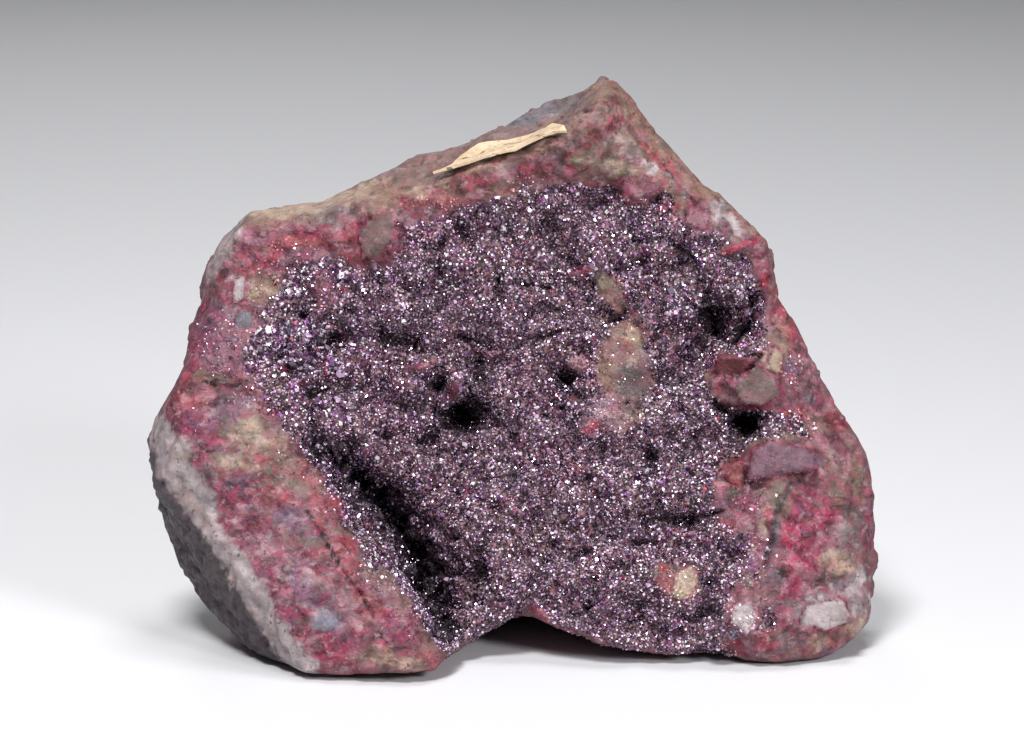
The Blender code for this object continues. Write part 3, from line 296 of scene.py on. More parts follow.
# Broad areas of colour on the front, laid over each other in this order:
# colour, across, up, half width, half height, turn in degrees, how much it covers
AREAS = [
    ("deep rose", -37.0, 36.0, 4.5, 9.0, 0, 0.5), ("tan", -20, 57, 14, 2.2, 8, 0.9),
    ("cream", -26.5, 56.6, 6.5, 1.3, 6, 0.9), ("cream", -18, 58.6, 4, 0.9, 20, 0.8),
    ("tan", 4, 63, 12, 2.6, 20, 0.9), ("tan", 14, 66, 6, 6, 30, 1.0),
    ("tan", 21, 60, 7, 3.4, -45, 0.9), ("rose", -27, 52.0, 6, 2.4, 5, 0.7),
    ("salmon", -24, 52.4, 6, 0.7, 5, 0.9), ("brown", -26, 54.2, 5, 0.8, 14, 0.6),
    ("grey", -21, 55.4, 3, 1.3, 10, 0.7), ("tan", -14.6, 57.6, 3, 1.3, 10, 0.7),
    ("bright red", -30.4, 49.5, 3.2, 0.45, 25, 0.8), ("salmon", -20.6, 51.0, 1.6, 0.6, -40, 0.9),
    ("tan", -30.2, 47.0, 3.2, 1.9, -15, 0.8), ("olive", -29.2, 48.6, 1.6, 1.0, 20, 0.6),
    ("cream", -30.0, 46.2, 2.6, 0.3, 5, 0.8), ("white", -32.7, 46.4, 0.8, 1.9, -12, 0.9),
    ("blue grey", -32.2, 42.9, 1.4, 1.2, 0, 0.8), ("red brown", -30.8, 43.0, 1.0, 1.1, 0, 0.7),
    ("lilac", -35.0, 40.4, 2.6, 4.2, 0, 0.3), ("rose", -38.0, 42.0, 1.0, 5.0, -12, 0.8),
    ("bright red", -38.4, 37.0, 0.5, 1.6, -20, 0.6), ("white", -34.6, 51.6, 1.2, 4.4, -26, 0.8),
    ("grey", -39.2, 41.0, 0.8, 3.6, -14, 0.8), ("salmon", -38.0, 33.6, 2.6, 1.8, 0, 0.7),
    ("olive", -36.0, 36.0, 2.2, 0.8, -10, 0.7), ("red brown", -33.2, 34.8, 2.6, 0.9, -25, 0.7),
    ("lilac", -33.4, 32.6, 2.2, 1.2, 0, 0.5), ("magenta", -38.0, 30.0, 2.0, 2.0, 0, 0.6),
    ("magenta", -36.4, 29.0, 1.4, 1.0, 0, 0.6), ("grey", -38.2, 28.4, 1.2, 1.0, 0, 0.6),
    ("slate", -35.6, 26.8, 1.2, 0.9, 30, 0.7), ("cream", -31.2, 29.0, 3.0, 1.7, -15, 0.9),
    ("olive", -34.2, 30.0, 1.6, 1.2, 0, 0.6), ("tan", -29.0, 27.4, 3.0, 2.0, -35, 0.7),
    ("cream", -33.0, 25.9, 3.4, 1.0, -8, 0.9), ("salmon", -29.6, 25.2, 2.0, 0.9, -30, 0.6),
    ("olive", -27.6, 24.0, 3.0, 0.8, -22, 0.7), ("deep rose", -33.0, 22.6, 2.6, 1.9, 0, 0.9),
    ("deep rose", -34.6, 20.4, 1.2, 2.6, 15, 0.7), ("plum", -32.6, 23.0, 1.8, 1.2, 0, 0.6),
    ("salmon", -28.4, 21.6, 3.4, 1.2, -18, 0.8), ("deep rose", -31.2, 18.4, 2.2, 1.4, -20, 0.7),
    ("lilac", -26.2, 18.6, 3.4, 1.6, -30, 0.7), ("pale rose", -28.0, 14.0, 3.2, 2.2, -35, 0.8),
    ("rose", -29.4, 10.6, 1.6, 3.4, 35, 0.8), ("lilac", -24.4, 10.4, 3.2, 1.6, -35, 0.7),
    ("pale blue", -22.0, 6.8, 1.7, 1.2, -10, 0.8), ("rose", -26.0, 7.4, 1.8, 1.8, 0, 0.7),
    ("pale rose", -20.6, 9.0, 1.0, 2.8, 38, 0.7), ("crimson", -21.0, 2.8, 2.8, 1.5, 0, 0.6),
    ("rose", -20.4, 4.8, 2.6, 1.4, 0, 0.6), ("salmon", -20.6, 14.0, 1.0, 3.0, 38, 0.6),
    ("brick", -17.2, 8.4, 1.3, 2.6, 38, 0.6), ("tan", -16.6, 2.6, 2.6, 1.3, 0, 0.8),
    ("cream", -12.4, 1.6, 2.2, 0.9, 8, 0.8), ("rose", -13.2, 5.6, 2.0, 2.2, 35, 0.8),
    ("salmon", -9.6, 2.0, 1.5, 0.9, -35, 0.8), ("pale rose", -13.6, 10.8, 1.6, 0.8, -10, 0.8),
    ("salmon", -22.8, 19.6, 0.8, 3.4, 30, 0.8), ("bright red", -21.2, 20.9, 0.8, 0.6, 0, 0.7),
    ("bright red", -19.2, 16.2, 0.7, 0.6, 0, 0.8), ("brick", -19.8, 15.0, 0.8, 2.4, 30, 0.7),
    ("red brown", -14.4, 52.6, 1.0, 2.9, -25, 0.8), ("salmon", -18.8, 52.4, 0.8, 2.0, 10, 0.7),
    ("red brown", -17.2, 54.8, 1.6, 0.8, 20, 0.7), ("salmon", -9.0, 57.4, 5.0, 1.2, 5, 0.8),
    ("cream", -11.0, 58.2, 1.8, 0.8, 0, 0.7), ("red brown", -2.6, 59.8, 5.4, 1.0, 12, 0.6),
    ("brick dark", 4.0, 61.4, 4.6, 1.2, 8, 0.7), ("brown", -6.0, 58.4, 3.0, 0.5, 10, 0.6),
    ("brown", 8.0, 63.6, 2.4, 1.0, 30, 0.8), ("brick", 10.4, 65.2, 2.2, 0.8, 18, 0.7),
    ("salmon", 12.6, 66.8, 0.8, 1.0, 0, 0.7), ("grey", 4.0, 68.2, 7.0, 1.2, 14, 0.9),
    ("blue grey", 2.0, 67.6, 3.6, 1.1, 16, 0.8), ("tan", 11.6, 70.2, 3.0, 1.6, 0, 0.9),
    ("cream", 9.6, 67.6, 3.2, 0.4, 12, 0.6), ("olive", 11.6, 61.4, 4.8, 1.8, -4, 0.85),
    ("cream", 11.4, 61.4, 4.0, 0.5, -5, 0.7), ("brown", 12.4, 62.9, 4.0, 0.5, -16, 0.6),
    ("brown", 16.2, 63.4, 0.6, 4.0, 40, 0.6), ("salmon", 18.6, 61.0, 0.8, 3.6, 42, 0.6),
    ("salmon", 12.6, 59.2, 4.4, 0.4, 0, 0.7), ("white", 16.6, 61.0, 1.2, 0.5, -42, 0.9),
    ("grey", 20.2, 58.8, 0.8, 2.6, 42, 0.7), ("rose", 22.4, 58.8, 1.2, 2.4, 45, 0.7),
    ("red brown", 21.4, 56.8, 0.7, 1.3, 35, 0.8), ("tan", 23.4, 57.6, 1.3, 4.4, 45, 0.8),
    ("white", 25.6, 55.2, 1.0, 2.5, 48, 1.0), ("tan", 28.8, 53.8, 1.0, 1.6, 40, 0.9),
    ("bright red", 27.4, 51.7, 2.2, 0.5, 15, 0.9), ("bright red", 30.2, 48.8, 0.5, 2.6, 12, 0.8),
    ("pale rose", 22.2, 54.8, 1.8, 1.4, -20, 0.8), ("bright red", 18.6, 56.5, 1.4, 0.5, 20, 0.7),
    ("salmon", 33.2, 42.4, 1.2, 4.4, 24, 0.9), ("red brown", 31.6, 43.0, 0.5, 2.0, 10, 0.7),
    ("tan", 32.4, 42.2, 0.6, 1.6, 20, 0.6), ("pale rose", 35.6, 37.8, 0.9, 2.0, 25, 0.7),
    ("lilac", 33.2, 37.6, 0.9, 1.4, 0, 0.8), ("grey", 29.2, 34.8, 3.0, 2.2, -15, 0.9),
    ("tan", 30.0, 34.2, 2.2, 1.2, -15, 0.5), ("red brown", 26.4, 37.4, 2.4, 1.3, -15, 0.9),
    ("brown", 27.4, 37.0, 1.4, 0.8, -30, 0.5), ("cream", 31.6, 38.2, 1.2, 1.6, -10, 0.9),
    ("bright red", 25.0, 35.6, 0.6, 1.4, -30, 0.6), ("crimson", 28.4, 32.2, 3.2, 0.4, -10, 0.5),
    ("salmon", 34.0, 31.6, 1.5, 1.0, 0, 0.7), ("slate", 35.8, 33.8, 0.7, 1.6, 15, 0.7),
    ("pale rose", 33.2, 33.6, 1.0, 0.8, 0, 0.6), ("brick", 38.8, 30.4, 1.2, 2.0, 30, 0.6),
    ("tan", 14.0, 40.8, 2.2, 2.0, -10, 0.95), ("cream", 14.2, 41.4, 1.4, 0.8, 10, 0.6),
    ("tan", 12.6, 36.8, 2.6, 3.6, 12, 0.9), ("grey", 14.6, 34.8, 2.4, 2.8, 20, 0.8),
    ("pale rose", 11.2, 31.6, 2.6, 2.4, 0, 0.8), ("tan", 14.6, 31.6, 1.6, 2.0, 0, 0.6),
    ("pale rose", 7.8, 37.6, 1.4, 1.1, 0, 0.8), ("red brown", 14.6, 43.6, 1.0, 0.6, 20, 0.8),
    ("olive", 11.8, 46.2, 1.2, 3.2, 35, 0.9), ("brown", 12.6, 44.8, 0.8, 2.2, 35, 0.5),
    ("crimson", 8.2, 48.8, 1.8, 0.7, 12, 0.8), ("bright red", 9.4, 30.0, 1.5, 0.8, 20, 0.7),
    ("crimson", 7.2, 33.4, 0.7, 0.4, -30, 0.7), ("rose", 5.4, 34.4, 1.6, 0.5, -30, 0.6),
    ("salmon", 8.0, 25.0, 1.4, 0.5, -10, 0.8), ("rose", 0.2, 28.0, 1.0, 1.8, 20, 0.6),
    ("rose", 2.8, 26.4, 1.0, 1.0, 0, 0.6), ("red brown", 22.2, 29.6, 1.4, 0.6, 10, 0.7),
    ("bright red", -7.2, 34.4, 0.5, 1.3, 0, 0.9), ("rose", -6.0, 34.8, 1.5, 2.2, 0, 0.6),
    ("rose", -11.0, 37.4, 2.6, 0.4, 18, 0.9), ("rose", -12.2, 35.2, 1.6, 0.9, 0, 0.6),
    ("rose", -22.6, 46.4, 1.8, 2.0, 0, 0.7), ("salmon", -18.6, 50.6, 2.0, 1.0, -10, 0.6),
    ("rose", -28.0, 49.4, 2.0, 1.0, 0, 0.6), ("crimson", -30.4, 37.4, 1.6, 1.4, 0, 0.5),
    ("crimson", -25.6, 35.2, 2.0, 0.6, 0, 0.5), ("salmon", -24.2, 24.6, 1.2, 2.6, 20, 0.4),
    ("rose", -27.6, 31.4, 2.4, 1.2, -20, 0.5), ("grey", 31.6, 26.0, 2.6, 1.9, 0, 0.8),
    ("pale rose", 30.6, 26.4, 1.6, 1.4, 0, 0.5), ("blue grey", 35.0, 26.0, 2.2, 1.3, 0, 0.9),
    ("brick", 26.6, 24.4, 1.4, 2.4, -12, 0.9), ("olive", 26.4, 22.0, 1.6, 0.9, 20, 0.8),
    ("brick", 24.8, 22.8, 0.9, 1.2, 0, 0.7), ("rose", 28.6, 20.4, 2.2, 1.6, 0, 0.6),
    ("brick", 26.2, 18.2, 1.6, 0.9, 0, 0.6), ("cream", 30.2, 19.2, 0.5, 1.9, -20, 0.8),
    ("bright red", 30.8, 19.8, 0.5, 0.8, 0, 0.6), ("olive", 32.0, 20.8, 1.2, 2.4, 0, 0.8),
    ("slate", 31.2, 16.4, 0.7, 2.6, -12, 0.9), ("lilac", 28.8, 13.8, 1.0, 1.4, 0, 0.7),
    ("slate", 31.2, 12.2, 1.0, 1.4, 0, 0.7), ("grey", 27.6, 11.4, 1.6, 0.9, 0, 0.6),
    ("crimson", 35.2, 17.0, 2.6, 3.6, 0, 0.85), ("bright crimson", 33.4, 17.0, 1.2, 1.6, 0, 0.8),
    ("bright crimson", 34.6, 13.0, 1.8, 2.4, 0, 0.9),
    ("bright crimson", 38.0, 19.4, 1.6, 1.2, 0, 0.7), ("pale rose", 35.8, 10.6, 1.8, 0.9, 30, 0.7),
    ("rose", 36.0, 21.8, 2.2, 1.6, 0, 0.7), ("olive", 38.4, 22.6, 1.2, 1.2, 0, 0.5),
    ("crimson", 33.2, 10.2, 1.6, 0.8, 20, 0.6), ("grey", 40.6, 17.6, 1.4, 3.4, 0, 0.6),
    ("tan", 41.4, 23.6, 1.1, 2.6, 5, 0.9), ("pale rose", 38.0, 16.6, 2.0, 1.0, 0, 0.7),
    ("cream", 39.0, 14.0, 2.6, 1.5, 0, 0.9), ("white", 37.6, 8.0, 3.6, 1.9, 14, 1.0),
    ("white", 41.6, 9.6, 1.4, 3.4, 0, 0.8), ("blue grey", 38.8, 10.8, 1.2, 0.7, 0, 0.5),
    ("cream", 41.0, 6.2, 1.8, 1.4, 0, 0.8), ("rust", 42.6, 11.0, 0.5, 0.8, 0, 0.7),
    ("tan", 38.6, 4.4, 3.2, 1.1, 8, 0.8), ("salmon", 38.8, 4.0, 1.0, 1.4, 20, 0.4),
    ("white", 27.6, 7.2, 1.6, 1.9, -8, 0.7), ("pale blue", 26.8, 5.3, 1.1, 0.8, 0, 0.8),
    ("brick", 27.6, 3.6, 2.0, 1.0, 0, 0.8), ("brick", 30.6, 4.0, 1.2, 1.1, 0, 0.8),
    ("grey", 32.6, 4.4, 1.0, 1.6, 0, 0.7), ("slate", 33.4, 8.6, 1.0, 0.8, 0, 0.6),
    ("rose", 32.2, 7.6, 0.8, 0.9, 0, 0.5), ("cream", 20.6, 11.2, 1.5, 2.1, -25, 0.9),
    ("brick", 18.0, 12.4, 0.9, 1.8, 10, 0.8), ("salmon", 18.8, 10.0, 0.8, 1.4, -10, 0.7),
    ("rose", 19.8, 5.6, 1.8, 1.0, 0, 0.5), ("rose", 23.0, 15.0, 2.6, 0.8, 0, 0.5),
    ("salmon", 3.2, 7.6, 1.6, 0.6, -35, 0.8), ("rose", 8.0, 5.2, 4.4, 0.5, -16, 0.7),
    ("red brown", 5.0, 10.6, 1.4, 0.5, 25, 0.7),
]  # fmt: skip

# The white band down the left side, its middle line and half width, and the grey side beyond it
WHITE_BAND = [
    (-42.6, 31.4, 0.7), (-41.8, 28.4, 1.7), (-40.2, 25.0, 2.0), (-38.0, 21.8, 2.0),
    (-36.6, 19.2, 1.7), (-35.6, 16.6, 1.1), (-33.4, 14.0, 1.4), (-31.6, 11.2, 1.6),
    (-29.8, 8.2, 1.5), (-28.2, 5.4, 1.4), (-26.6, 3.0, 1.5), (-24.6, 1.2, 1.3),
]  # fmt: skip

# Bare places inside the druse and thin patches of crystals outside it, with how much they change it
BARE = [
    (13.6, 36.6, 3.6, 4.6, 5, 0.85), (14.0, 41.2, 2.6, 1.9, 0, 0.7), (11.8, 46.2, 1.2, 3.0, 35, 0.85),
    (12.4, 31.4, 3.4, 2.2, 0, 0.5), (7.8, 37.6, 1.3, 1.0, 0, 0.6), (14.6, 43.6, 0.9, 0.6, 0, 0.7),
    (-10.8, 37.4, 2.8, 0.5, 17, 0.7), (-7.0, 34.4, 0.7, 1.4, 0, 0.8), (-12.4, 35.2, 1.4, 0.8, 0, 0.4),
    (8.4, 48.8, 1.8, 0.6, 12, 0.5), (26.8, 51.6, 2.4, 0.6, 16, 0.9), (20.6, 11.4, 1.9, 2.4, -25, 0.8),
    (18.0, 12.2, 1.0, 1.9, 8, 0.7), (27.6, 7.4, 2.2, 2.4, 0, 0.8), (26.8, 23.0, 2.2, 3.4, 0, 0.8),
    (27.4, 18.6, 2.6, 1.6, 0, 0.5), (9.4, 30.2, 1.6, 0.9, 15, 0.5), (22.0, 54.8, 1.8, 1.4, -20, 0.7),
    (-22.6, 46.4, 1.6, 1.8, 0, 0.5), (28.6, 4.0, 3.4, 1.2, 0, 0.8), (8.0, 4.8, 5.0, 0.7, -16, 0.6),
    (16.0, 57.6, 1.8, 0.9, 0, 0.6), (28.8, 13.6, 1.2, 1.6, 0, 0.6), (3.0, 7.6, 1.5, 0.7, -30, 0.7),
    (8.0, 25.0, 1.2, 0.5, -10, 0.4), (7.2, 33.6, 1.2, 0.5, -30, 0.4), (5.0, 10.6, 1.2, 0.4, 25, 0.5),
]  # fmt: skip
SPRINKLED = [
    (-34.6, 39.6, 3.4, 4.0, 0, 0.32), (-31.0, 33.4, 3.6, 1.6, -20, 0.35), (-22.0, 21.8, 1.6, 4.0, 35, 0.25),
    (-16.4, 11.6, 3.4, 1.6, -40, 0.30), (34.0, 30.2, 2.6, 1.8, 0, 0.40), (33.6, 36.6, 1.4, 2.4, 0, 0.25),
    (28.4, 14.2, 3.0, 3.4, 0, 0.45), (30.4, 7.4, 2.4, 2.6, 0, 0.30), (-26.0, 51.4, 4.0, 1.2, 0, 0.22),
    (-9.0, 56.8, 4.6, 1.0, 0, 0.25), (2.0, 60.0, 3.4, 0.8, 5, 0.20), (-29.0, 49.0, 2.4, 2.0, 0, 0.20),
    (-12.4, 6.0, 1.6, 3.0, 35, 0.25), (28.6, 22.0, 2.6, 2.4, 0, 0.30), (-30.6, 45.0, 2.0, 2.2, 0, 0.25),
    (-38.0, 30.4, 2.0, 2.6, 0, 0.08), (-26.0, 26.0, 2.4, 3.4, 30, 0.18),
]  # fmt: skip

# Places with larger, brighter crystals: across, up, half width, half height, turn, share
BRIGHT = [
    (-25.0, 39.6, 4.6, 3.6, -15, 1.0), (-21.6, 32.0, 3.0, 1.6, -10, 0.9), (-15.8, 28.6, 1.0, 2.0, 20, 1.0),
    (-27.4, 46.6, 2.0, 1.4, 0, 0.7), (-20.0, 47.8, 1.4, 1.4, 0, 0.8), (19.6, 44.4, 1.6, 2.4, 0, 0.7),
    (15.8, 24.0, 2.0, 1.6, 0, 0.8), (-7.6, 11.6, 0.9, 1.4, 0, 1.0), (21.4, 38.6, 1.4, 2.0, 30, 0.6),
    (-30.0, 39.6, 2.4, 2.2, 0, 0.7), (17.4, 17.6, 3.0, 1.0, 0, 0.4), (-18.6, 37.0, 2.4, 0.8, 0, 0.7),
    (28.6, 43.4, 1.2, 0.8, 0, 0.8), (26.8, 46.8, 1.8, 2.6, 0, 0.35),
]  # fmt: skip


def linear(colour):
    """A colour as light, from what the eye sees of it from 0 to 255."""
    share = np.asarray(colour, float) / 255.0
    return np.where(share <= 0.04045, share / 12.92, ((share + 0.055) / 1.055) ** 2.4)


def seen(points):
    """Across, up and back in the face frame, as the eye sees them, for points in the world's metres."""
    from_origin = points / MM - np.array(FACE_ORIGIN)
    across, y, z = from_origin.T
    back = y * math.cos(FACE_TILT) - z * math.sin(FACE_TILT)
    up = y * math.sin(FACE_TILT) + z * math.cos(FACE_TILT)
    widen = 1.0 + back / VIEW_DISTANCE
    return across / widen, EYE_HEIGHT + (up - EYE_HEIGHT) / widen, back


def smooth_step(low, high, value):
    """0 below low, 1 above high, and a smooth rise between."""
    share = np.clip((value - low) / (high - low), 0.0, 1.0)
    return share * share * (3.0 - 2.0 * share)


def noise_at(points, cell, offset=0.0, octaves=2):
    """Smooth noise of about -1 to 1 at points in millimetres, with features about one cell wide."""
    moved = points / cell + offset
    return np.array([noise.fractal(Vector(p), 1.0, 2.0, octaves) for p in moved])


def lumps_at(points, cell, offset=0.0):
    """Round lumps about one cell wide with sharp valleys between: 0 in a valley to 1 on a lump."""
    moved = points / cell + offset
    return 1.0 - np.array([min(1.0, noise.voronoi(Vector(p))[0][0]) for p in moved]) ** 2


def chips_at(points, cell, offset=0.0):
    """Heights of a surface broken into flat chips about one cell wide, each tilted its own way."""
    heights = []
    for p in points / cell + offset:
        place = Vector(p)
        middle = noise.voronoi(place)[1][0]
        heights.append((place - middle).dot(noise.noise_vector(middle * 5.3)))
    return np.array(heights) * cell


def lumps_over_level(points, cell, offset):
    """Lumps that stand over the level at which the druse lies, with valleys below it."""
    return lumps_at(points, cell, offset) - LUMP_LEVEL


def relief(points, table):
    """The height of all the relief in a table, in millimetres."""
    kinds = {"lumps": lumps_over_level, "chips": chips_at, "noise": noise_at}
    return sum(height * kinds[kind](points, *rest) for kind, height, *rest in table)


def bent(points, amount, cell, starts):
    """The points, pushed about by noise of this amount."""
    return points + amount * np.stack([noise_at(points, cell, start, 2) for start in starts], axis=1)


def flattened(points, normals, faces, where):
    """Lays the patches of a broken surface flat and tilted a little, by as much as where says."""
    cell, offset, share, tilt = faces
    middles = np.array([noise.voronoi(Vector(p))[1][0] for p in points / cell + offset])
    ways = np.array([(x, y, z) for x in (-1, 0, 1) for y in (-1, 0, 1) for z in (-1, 0, 1) if x or y or z])
    side = np.argmax(normals @ (ways / np.linalg.norm(ways, axis=1)[:, None]).T, axis=1)
    keys = np.concatenate([np.round(middles * 50), side[:, None]], axis=1)
    patch = np.unique(keys, axis=0, return_inverse=True)[1].ravel()
    count = np.bincount(patch)

    def mean(values):
        return np.stack([np.bincount(patch, values[:, k]) for k in range(3)], axis=1) / count[:, None]

    middle = mean(points)
    way = mean(normals) + tilt * np.random.default_rng(TILT_SEED).normal(size=(len(count), 3))
    way /= np.linalg.norm(way, axis=1)[:, None]
    height = np.sum((points - middle[patch]) * way[patch], axis=1)
    # No place moves further than this, so that sharp ridges stay whole
    furthest = 0.2 + 0.07 * cell
    height = np.clip(height, -furthest, furthest) * share * where
    return points - height[:, None] * way[patch]


def fragments_at(points, cell, offset):
    """Angular fragments in some of the cells: how far inside one each place is, and its chance value."""
    found = [noise.voronoi(Vector(p)) for p in points / cell + offset]
    gap = np.array([distances[1] - distances[0] for distances, _ in found])
    value = np.abs([noise.noise(middles[0] * 7.7) for _, middles in found]) * 1e3 % 1.0
    return smooth_step(0.05, 0.2, gap) * (value > 0.5), value


def in_oval(across, up, spot):
    """A place's distance from an oval's middle as a share of its half sizes."""
    angle = math.radians(spot[4])
    dx, dz = across - spot[0], up - spot[1]
    along = (dx * math.cos(angle) + dz * math.sin(angle)) / spot[2]
    over = (dz * math.cos(angle) - dx * math.sin(angle)) / spot[3]
    return np.hypot(along, over)


def from_segment(across, up, start, end):
    """Distance from a flat segment, how far along it the nearest point is, and the side of it."""
    (ax, az), (bx, bz) = start[:2], end[:2]
    length = (bx - ax) ** 2 + (bz - az) ** 2
    share = np.clip(((across - ax) * (bx - ax) + (up - az) * (bz - az)) / length, 0.0, 1.0)
    distance = np.hypot(across - ax - share * (bx - ax), up - az - share * (bz - az))
    side = (across - ax) * (bz - az) - (up - az) * (bx - ax)
    return distance, share, side


def from_line(across, up, line):
    """Distance from the nearest segment of a line, with that segment's share and side and number."""
    nearest = np.full(across.shape, 1e9)
    share, side, number = np.zeros_like(nearest), np.zeros_like(nearest), np.zeros(across.shape, int)
    for i, (start, end) in enumerate(zip(line, line[1:])):
        found, its_share, its_side = from_segment(across, up, start, end)
        closer = found < nearest
        nearest = np.where(closer, found, nearest)
        share, side = np.where(closer, its_share, share), np.where(closer, its_side, side)
        number = np.where(closer, i, number)
    return nearest, share, side, number


def within(across, up, corners):
    """Whether flat places are inside a ring of corners."""
    inside = np.zeros(across.shape, bool)
    for (ax, az), (bx, bz) in zip(corners, corners[1:] + corners[:1]):
        crossed = (az > up) != (bz > up)
        level = ax + (up - az) / (bz - az if bz != az else 1e-9) * (bx - ax)
        inside ^= crossed & (across < level)
    return inside


def inside_depth(across, up, corners):
    """How far inside a ring flat places are, less than 0 outside it."""
    distance = from_line(across, up, corners + corners[:1])[0]
    return np.where(within(across, up, corners), distance, -distance)


def new_piece(name, mesh):
    piece = bpy.data.objects.new(name, mesh)
    bpy.context.scene.collection.objects.link(piece)
    return piece


def corners_of(mesh):
    flat = np.empty(len(mesh.vertices) * 3)
    mesh.vertices.foreach_get("co", flat)
    return flat.reshape(-1, 3)


def normals_of(mesh):
    flat = np.empty(len(mesh.vertices) * 3)
    mesh.vertices.foreach_get("normal", flat)
    return flat.reshape(-1, 3)


def set_corners(mesh, points):
    mesh.vertices.foreach_set("co", points.ravel())
    mesh.update()


def apply_modifiers(piece):
    graph = bpy.context.evaluated_depsgraph_get()
    mesh = bpy.data.meshes.new_from_object(piece.evaluated_get(graph))
    piece.modifiers.clear()
    piece.data = mesh


def remesh(piece, cell):
    voxels = piece.modifiers.new("remesh", "REMESH")
    voxels.mode = "VOXEL"
    voxels.voxel_size = cell * MM
    apply_modifiers(piece)


def smoothed(points, edges, weight, rounds):
    """The points, moved towards the middle of their neighbours by their weight, this many times."""
    count = np.bincount(edges.ravel(), minlength=len(points))[:, None]
    for _ in range(rounds):
        total = np.zeros_like(points)
        np.add.at(total, edges[:, 0], points[edges[:, 1]])
        np.add.at(total, edges[:, 1], points[edges[:, 0]])
        points = points + (total / count - points) * weight[:, None]
    return points


def outer_shell(piece):
    """Keeps only the largest of a mesh's separate shells."""
    work = bmesh.new()
    work.from_mesh(piece.data)
    left = set(work.verts)
    largest = []
    while left:
        start = left.pop()
        shell, queue = [start], [start]
        while queue:
            for edge in queue.pop().link_edges:
                for corner in edge.verts:
                    if corner in left:
                        left.discard(corner)
                        shell.append(corner)
                        queue.append(corner)
        if len(shell) > len(largest):
            largest = shell
    keep = set(largest)
    bmesh.ops.delete(work, geom=[v for v in work.verts if v not in keep], context="VERTS")
    work.to_mesh(piece.data)
    work.free()


def edges_of(mesh):
    flat = np.empty(len(mesh.edges) * 2, int)
    mesh.edges.foreach_get("vertices", flat)
    return flat.reshape(-1, 2)


def fused_stone(nodes):
    """The rock and its crust grown together as one surface, without the crust's coarse crystals."""
    work = bmesh.new()
    work.from_mesh(nodes["matrix"].data)
    work.from_mesh(nodes["cinnabar_crust"].data)
    bmesh.ops.remove_doubles(work, verts=work.verts, dist=1e-6)
    mesh = bpy.data.meshes.new("stone")
    work.to_mesh(mesh)
    work.free()
    stone = new_piece("stone", mesh)
    remesh(stone, FUSE_CELL)
    outer_shell(stone)
    points = corners_of(stone.data)
    across, up, _ = seen(points)
    facing = -normals_of(stone.data) @ INTO_STONE
    druse = smooth_step(-1.5, 1.0, inside_depth(across, up, DRUSE_EDGE)) * (facing > -0.3)
    points = smoothed(points, edges_of(stone.data), 0.1 + 0.45 * druse, 5)
    set_corners(stone.data, points)
    remesh(stone, FINE_CELL)
    return stone


def druse_cover(points, across, up):
    """How thickly the druse lies at each place, from 0 to 1."""
    ragged = 0.8 * noise_at(points, 2.2, 11.0, 3)
    cover = smooth_step(-0.2, 0.5, inside_depth(across, up, DRUSE_EDGE) + ragged)
    speck = 0.5 + 0.5 * noise_at(points, 0.9, 31.0, 2)
    for spot in BARE:
        away = in_oval(across, up, spot) + 0.5 * (speck - 0.5)
        cover = cover * (1.0 - spot[5] * smooth_step(1.15, 0.75, away))
    for spot in SPRINKLED:
        away = in_oval(across, up, spot) + 0.5 * (speck - 0.5)
        cover = np.maximum(cover, spot[5] * smooth_step(1.2, 0.6, away))
    return cover


def broken_faces(places, normals, facing, where, turned):
    """The places, laid in flat broken faces: broad ones behind, and large and small ones all over."""
    behind = smooth_step(-0.15, -0.45, facing)
    above = smooth_step(0.0, 1.2, places[:, 2])
    flat = flattened(places, normals, BACK_FACES, above * behind)
    flat = flattened(flat, normals, LARGE_FACES, where)
    return flattened(flat, normals, SMALL_FACES, where * turned)


def druse_relief(places):
    """Heights of the druse: lumps with sharp valleys between them, and broad swells."""
    return relief(bent(places, *LUMP_BEND), DRUSE_LUMPS) + relief(places, DRUSE_SWELLS)


def rock_relief(places, turned, porous, fragments):
    """Heights of the broken rock: chips, proud fragments, and the rougher porous side."""
    broken = relief(places, ROCK_RELIEF)
    for inner_part, _ in fragments:
        broken = broken + FRAGMENT_HEIGHT * inner_part
    return broken * turned + porous * (0.4 + 0.6 * turned) * relief(places, POROUS_RELIEF)


def sunk_depth(places, across, up):
    """How deep the hollows and cracks are at each place, and less than 0 on a knob."""
    sink = np.zeros(len(places))
    for spot in HOLLOWS.values():
        sink += HOLLOW_DEPTH * spot[5] * np.exp(-(in_oval(across, up, spot) ** 2))
    for spot in KNOBS.values():
        sink -= KNOB_HEIGHT * spot[5] * np.exp(-(in_oval(across, up, spot) ** 4))
    ragged = 1.0 + 0.5 * noise_at(places, 1.1, 23.0, 1)
    for line, half_width, depth in CRACKS.values():
        distance = from_line(across, up, line)[0]
        sink += depth * ragged * np.exp(-((distance / half_width) ** 2))
    return sink


def clast_face(clast, across, up, back, facing):
    """Where one clast's face is, and how far back its flat, leaning face lies at each place."""
    corners, proud, lean_right, lean_up, _ = clast
    inside = within(across, up, corners) & (facing > 0.0)
    if not inside.any():
        return inside, back
    middle = np.mean(corners, axis=0)
    face = np.median(back[inside]) - proud
    face = face + lean_right * (across - middle[0]) + lean_up * (up - middle[1])
    return inside & (np.abs(face - back) < CLAST_REACH), face


